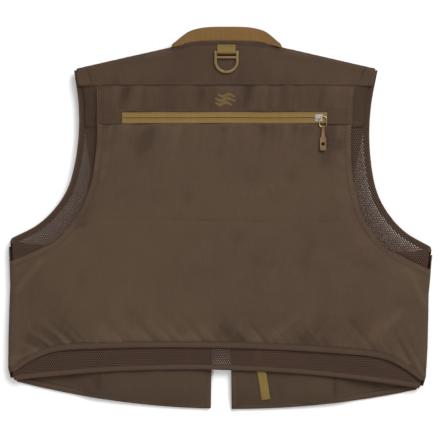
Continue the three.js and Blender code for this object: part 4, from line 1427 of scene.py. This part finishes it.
def rod_mesh(name, path, half_width, half_height, first):
    """A moulded rod with rounded corners and rounded ends."""
    path = resample(np.array(path), ROD_STEP)
    tangent, across = frames_along(path, first)
    up = np.cross(tangent, across)
    to_end = np.minimum(np.arange(len(path)), np.arange(len(path))[::-1]) * ROD_STEP
    size = np.sqrt(1 - (1 - np.clip(to_end / ROD_END + 0.1, 0, 1)) ** 2)[:, None]
    rings = []
    for angle in np.linspace(0, 2 * math.pi, ROD_SIDES + 1)[:-1]:
        u, w = (math.copysign(abs(v) ** ROD_SQUARENESS, v)
                for v in (math.cos(angle), math.sin(angle)))
        rings.append(path + across * half_width * u * size + up * half_height * w * size)
    return loft_mesh(name, np.stack(rings, axis=1), flip=True)


# The net ring: a D with a bar across it, and a pin through the webbing.
low, high = (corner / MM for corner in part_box("net_ring"))
middle, half = (low + high) / 2, (high.x - low.x) / 2
bend = half - RING_LEG / 2


def across_ring(down):
    """A straight line from leg to leg of the ring."""
    return [(middle.x + way * bend, high.y - down, middle.z) for way in (-1, 1)]


top_left, top_right = across_ring(0)
half_circle = [(middle.x + bend * math.cos(angle), low.y + half + bend * math.sin(angle), middle.z)
               for angle in (math.pi * (1 + step / 40) for step in range(41))]
for name, path, sizes, first, nodes in (
    ("net_ring_bow", [top_left, *half_circle, top_right], (2.0, 1.7), (1, 0, 0), ["net_ring"]),
    ("net_ring_bar", across_ring(RING_BAR_DOWN), (1.65, 1.4), (0, 1, 0), []),
    ("net_ring_pin", across_ring(RING_PIN_DOWN), (1.35, 1.35), (0, 1, 0), []),
):
    piece(name, rod_mesh(name, path, *sizes, first), "moulding", "net_ring", nodes)

# ---------------------------------------------------------------- pockets and flaps

FRONT_UNDER = FRONT_LOW + FRONT_LIFT - CLOTH
FLAP_LENGTHS = {"chest": 34, "lower": 42}
POCKET_CLOTH = 0.5
FLAP_DROP = [(0.0, 8.1), (0.7, 6.6), (1.1, 4.6), (1.3, 2.6), (1.9, 1.4), (3.2, 0.9)]  # out, height
FLAP_CORNER = 7  # how much a flap's rounded corners take off its length


def tray(u, v, width, height, rise):
    """Height of a pocket's soft face: low in its middle, drawn up at its sides and bottom."""
    side = np.minimum(u, width - u) / 9
    bottom = (height - v) / 9
    edge = np.clip(np.minimum(side, bottom), 0, 1)
    return 0.5 + rise * (1 - np.sqrt(np.clip(1 - (1 - edge) ** 2, 0, 1)))


for kind, ((x0, x1), (y0, y1)) in POCKETS.items():
    flap_length = FLAP_LENGTHS[kind]
    for name, side in SIDES:
        u = np.linspace(0, x1 - x0, 46)
        v = np.linspace(2.8, y1 - y0, 42)
        gu, gv = np.meshgrid(u, v)
        z = tray(gu, gv, x1 - x0, y1 - y0, FRONT_UNDER - 0.6)
        z += 3.0 * (1 - smoothstep((gv - 2.8) / (flap_length * 0.8)))
        z += 0.5 * np.abs(noise2(gu / 22 + 3, gv / 22, 91 + side)) + 0.2
        z = np.minimum(z, FRONT_UNDER)
        ring = lay_rings(np.stack([x0 + gu, y1 - gv, z], axis=-1), side)
        # The pocket's relief is its height: painted light where its face rises and painted shade
        # where it sinks.
        grid_cloth(f"{kind}_pocket_{name}", ring, np.stack([gu.ravel(), gv.ravel()], axis=1),
                   "shell", "vest", [x1 - x0 + 12, y1 - y0 + 6],
                   relief=(z.ravel() - 2) / 8, thick=POCKET_CLOTH, flip=side > 0)

        # The flap drops from its sewn edge and then runs down over the pocket.
        low, high = (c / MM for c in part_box(f"{kind}_pocket_flap_{name}"))
        run = np.linspace(FLAP_DROP[-1][0] + 1.3, flap_length - 1.1, 14)
        section = np.vstack([FLAP_DROP, np.column_stack([run, np.full(14, 0.85)])])
        u = np.linspace(0.4, high.x - low.x - 0.4, 48)
        corner = np.clip(np.minimum(u, u[-1] + 0.4 - u) / 9, 0, 1)
        rings = []
        for down, z in section:
            near_end = smoothstep(down / flap_length * 1.6 - 0.6)
            shorter = FLAP_CORNER * (1 - np.sqrt(1 - (1 - corner) ** 2)) * near_end
            fall = np.minimum(down, high.y - low.y) - shorter
            lift = z + 0.18 * noise1(u / 14, 95) * (down > 3)
            rings.append(np.column_stack([low.x + u, high.y - 0.5 - fall, np.maximum(lift, 0.6)]))
        rings = np.stack(rings)
        obj = grid_cloth(f"{kind}_pocket_flap_{name}", rings,
                         np.stack([rings[..., 0].ravel(), -rings[..., 1].ravel()], axis=1), "shell",
                         f"{kind}_flap_{name}", [high.x - low.x, flap_length + 8],
                         wear=np.repeat(np.linspace(0, 0.9, len(section)) ** 6, len(u)),
                         thick=POCKET_CLOTH, flip=True)
        bend_between(obj)
        for part, body in ((f"{kind}_flap_hook_{name}", f"{kind}_flap_{name}"),
                           (f"{kind}_pocket_loop_{name}", "vest")):
            refined(part, "fastener", body, "touch_fastener", 0.1, segments=1)

# ---------------------------------------------------------------- emblem

RIPPLES = [(0, 15.0, 0.0), (5.6, 12.5, 1.7), (-5.6, 12.5, -1.9)]  # offset, half length, slide
RIPPLE_STATIONS, RIPPLE_LINES = 61, 5
EMBLEM_Y = 166


def ripple(offset, half, slide):
    """One wavy stroke of the emblem, thick in its middle and pointed at its ends."""
    t = np.linspace(-1, 1, RIPPLE_STATIONS)
    x = slide + half * t
    y = offset + 1.6 * np.sin(t * math.pi * 1.5 + 0.4)
    thick = 2.2 * np.sqrt(np.clip(1 - t**2, 0, 1)) + 0.05
    return np.column_stack([x, y - thick]), np.column_stack([x, y + thick])


points, faces = [], []
for stroke in RIPPLES:
    lower, upper = ripple(*stroke)
    first = len(points) * RIPPLE_STATIONS
    for k in range(RIPPLE_LINES):
        points.append(lower + (upper - lower) * k / (RIPPLE_LINES - 1))
    for face in grid_faces(RIPPLE_LINES, RIPPLE_STATIONS):
        faces.append(tuple(first + i for i in face))
points = np.vstack(points)
pattern_x, pattern_y = points[:, 0], points[:, 1] + EMBLEM_Y
lx, ly = lay(pattern_x, pattern_y)
top = back_height(pattern_x, pattern_y) + strip_wrinkles(pattern_x, pattern_y) + CLOTH / 2 + 0.12
mesh = make_mesh("back_emblem_print", np.column_stack([lx, ly, top]), [f[::-1] for f in faces],
                 points, {"relief": np.zeros(len(points)), "wear": np.zeros(len(points))})
piece("back_emblem_print", mesh, "print", "vest", ["back_emblem"])

# ---------------------------------------------------------------- stitching


def surface_over(names):
    """What is highest of some pieces, for lines that are dropped on them."""
    points, faces = [], []
    graph = bpy.context.evaluated_depsgraph_get()
    for name in names:
        evaluated = made[name].evaluated_get(graph)
        mesh = evaluated.to_mesh()
        first = len(points)
        points += [v.co.copy() for v in mesh.vertices]
        faces += [tuple(first + i for i in p.vertices) for p in mesh.polygons]
        evaluated.to_mesh_clear()
    return BVHTree.FromPolygons(points, faces)


ABOVE_BACK, BETWEEN_LAYERS = 40.0, 12.0  # the heights that lines are dropped from
STITCH_LIFT = 0.05


def dropped(surface, path, from_z=ABOVE_BACK):
    """Pattern points dropped straight onto a surface, as lines that leave out what misses it."""
    lines, current = [], []
    for x, y in zip(*lay(path[:, 0], path[:, 1])):
        hit = surface.ray_cast(Vector((x, y, from_z)) * MM, Vector((0, 0, -1)))[0]
        if hit is None:
            lines.append(current)
            current = []
        else:
            current.append((x, y, hit.z / MM + STITCH_LIFT))
    return [line for line in [*lines, current] if len(line) > 2]


def mirrored(path):
    return [path, path * [-1, 1]]


top_side = surface_over([
    "back_pouch_panel", "back_strip", "yoke", "zip_tape_upper", "zip_tape_lower",
    "zip_end_patch_right", "zip_end_patch_left", *bindings,
])
YOKE_SIDE_STITCHES = [(195, 213.0), (186, 187.5)]
END_PATCH_STITCHES = [(144.5, 133), (177, 133), (177, 148), (144.5, 148), (144.5, 133)]
seams = []
for width in (POUCH_BINDING - 1.2, POUCH_BINDING - 2.7):
    for line in mirrored(inset(pouch_armhole_path[:, :2], width)):
        seams += dropped(top_side, line)
for line in mirrored(inset(rows(back_armhole, -25, 198), ARMHOLE_BINDING - 1.2)):
    seams += dropped(top_side, line)
for width in (POUCH_BINDING - 1.3, POUCH_BINDING - 2.9):
    seams += dropped(top_side, both_hem + [0, width])
hem_line = np.column_stack([hem_x, back_hem(hem_x) + 6.8])
seams += dropped(surface_over(["back_hem_binding"]), hem_line)
yoke_x = np.linspace(-190, 190, 260)
seams += dropped(top_side, np.column_stack([yoke_x, np.full_like(yoke_x, YOKE_SEAM + 1.0)]))
for side in (-1, 1):
    seams += dropped(top_side, resample(np.array(YOKE_SIDE_STITCHES) * [side, 1], 2.0))
for side in (-1, 1):
    seams += dropped(top_side, resample(np.array(END_PATCH_STITCHES) * [side, 1], 1.5))
repeated_along("stitching", seams, "thread", "binding", stitch_link, 3.0, Length=1.15, Thread=0.28)

inside_side = surface_over(["front_lining_right", "front_lining_left", "front_hem_binding_right",
                            "front_hem_binding_left", "front_edge_binding_right",
                            "front_edge_binding_left"])
inner = []
for side in (1, -1):
    x = np.linspace(32, 276, 200)
    line = np.column_stack([x * side, front_hem(x) + HEM_BINDING - 3.2])
    inner += dropped(inside_side, line, BETWEEN_LAYERS)
    for column in POCKET_STITCHES:
        y = np.linspace(-105, -255, 80)
        line = np.column_stack([np.full_like(y, column * side), y])
        inner += dropped(inside_side, line, BETWEEN_LAYERS)
repeated_along("inner_stitching", inner, "thread", "lining", stitch_link, 3.0,
               Length=1.15, Thread=0.26)

tan_lines = []
tape_x = np.linspace(-141, 141, 240)
for way in (1, -1):
    line = np.column_stack([tape_x, np.full_like(tape_x, ZIP_MIDDLE + way * 6.6)])
    tan_lines += dropped(top_side, line)
# The webbing's box gives laid millimetres, so its two lines are dropped without lay().
low, high = (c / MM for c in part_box("net_ring_webbing"))
webbing_top = surface_over(["net_ring_webbing_refined"])
for row in (high.y - 3.0, high.y - 6.2):
    line = []
    for x in (low.x + high.x) / 2 + np.linspace(-11, 11, 12):
        hit = webbing_top.ray_cast(Vector((x, row, ABOVE_BACK)) * MM, Vector((0, 0, -1)))[0]
        if hit:
            line.append((x, row, hit.z / MM + STITCH_LIFT))
    tan_lines.append(line)
repeated_along("tan_stitching", tan_lines, "tan_thread", "zip_tape", stitch_link, 2.8,
               Length=1.05, Thread=0.26)

# ---------------------------------------------------------------- camera, light and floor


def floor_finish():
    """A pale floor that changes shade too slowly to be seen as a pattern."""
    finish = Finish("pale_floor", Roughness=0.9, Specular_IOR_Level=0.1)
    haze = finish.noise(1.4, 2.0)
    finish.set("Base Color", finish.mix(haze, (0.90, 0.90, 0.90), (0.93, 0.93, 0.93)))
    return finish.material


FLOOR_HALF_WIDTH, FLOOR_HEIGHT = 6.0, -0.0004
floor_corners = [(x * FLOOR_HALF_WIDTH, y * FLOOR_HALF_WIDTH, FLOOR_HEIGHT)
                 for x, y in ((-1, -1), (1, -1), (1, 1), (-1, 1))]
floor_mesh = bpy.data.meshes.new("floor")
floor_mesh.from_pydata(floor_corners, [], [(0, 1, 2, 3)])
floor_mesh.materials.append(floor_finish())
floor = bpy.data.objects.new("floor", floor_mesh)
bpy.context.scene.collection.objects.link(floor)

# The camera looks straight down. The view's width is measured at the height of its target.
VIEW_CENTRE, VIEW_WIDTH, VIEW_DISTANCE, SENSOR = (-0.0003, -0.0025), 0.616, 3.0, 36.0
TARGET_HEIGHT = 0.012
camera_data = bpy.data.cameras.new("camera")
camera_data.sensor_width = SENSOR
camera_data.lens = SENSOR * VIEW_DISTANCE / VIEW_WIDTH
camera = bpy.data.objects.new("camera", camera_data)
camera.location = (*VIEW_CENTRE, VIEW_DISTANCE + TARGET_HEIGHT)
bpy.context.scene.collection.objects.link(camera)
bpy.context.scene.camera = camera


def softbox(name, place, size, watts):
    """A square light that faces the origin."""
    light = bpy.data.lights.new(name, "AREA")
    light.size, light.energy = size, watts
    obj = bpy.data.objects.new(name, light)
    obj.location = place
    obj.rotation_euler = (-Vector(place)).to_track_quat("-Z", "Y").to_euler()
    bpy.context.scene.collection.objects.link(obj)


softbox("key_light", (2.0, 2.6, 3.3), 3.4, 290.0)
softbox("fill_light", (-1.8, -1.9, 3.2), 2.8, 75.0)
world = bpy.data.worlds.new("studio")
bpy.context.scene.world = world
world.use_nodes = True
backdrop = world.node_tree.nodes["Background"]
backdrop.inputs["Color"].default_value = (1.0, 1.0, 1.0, 1)
backdrop.inputs["Strength"].default_value = 0.31
bpy.context.scene.view_settings.view_transform = "Standard"
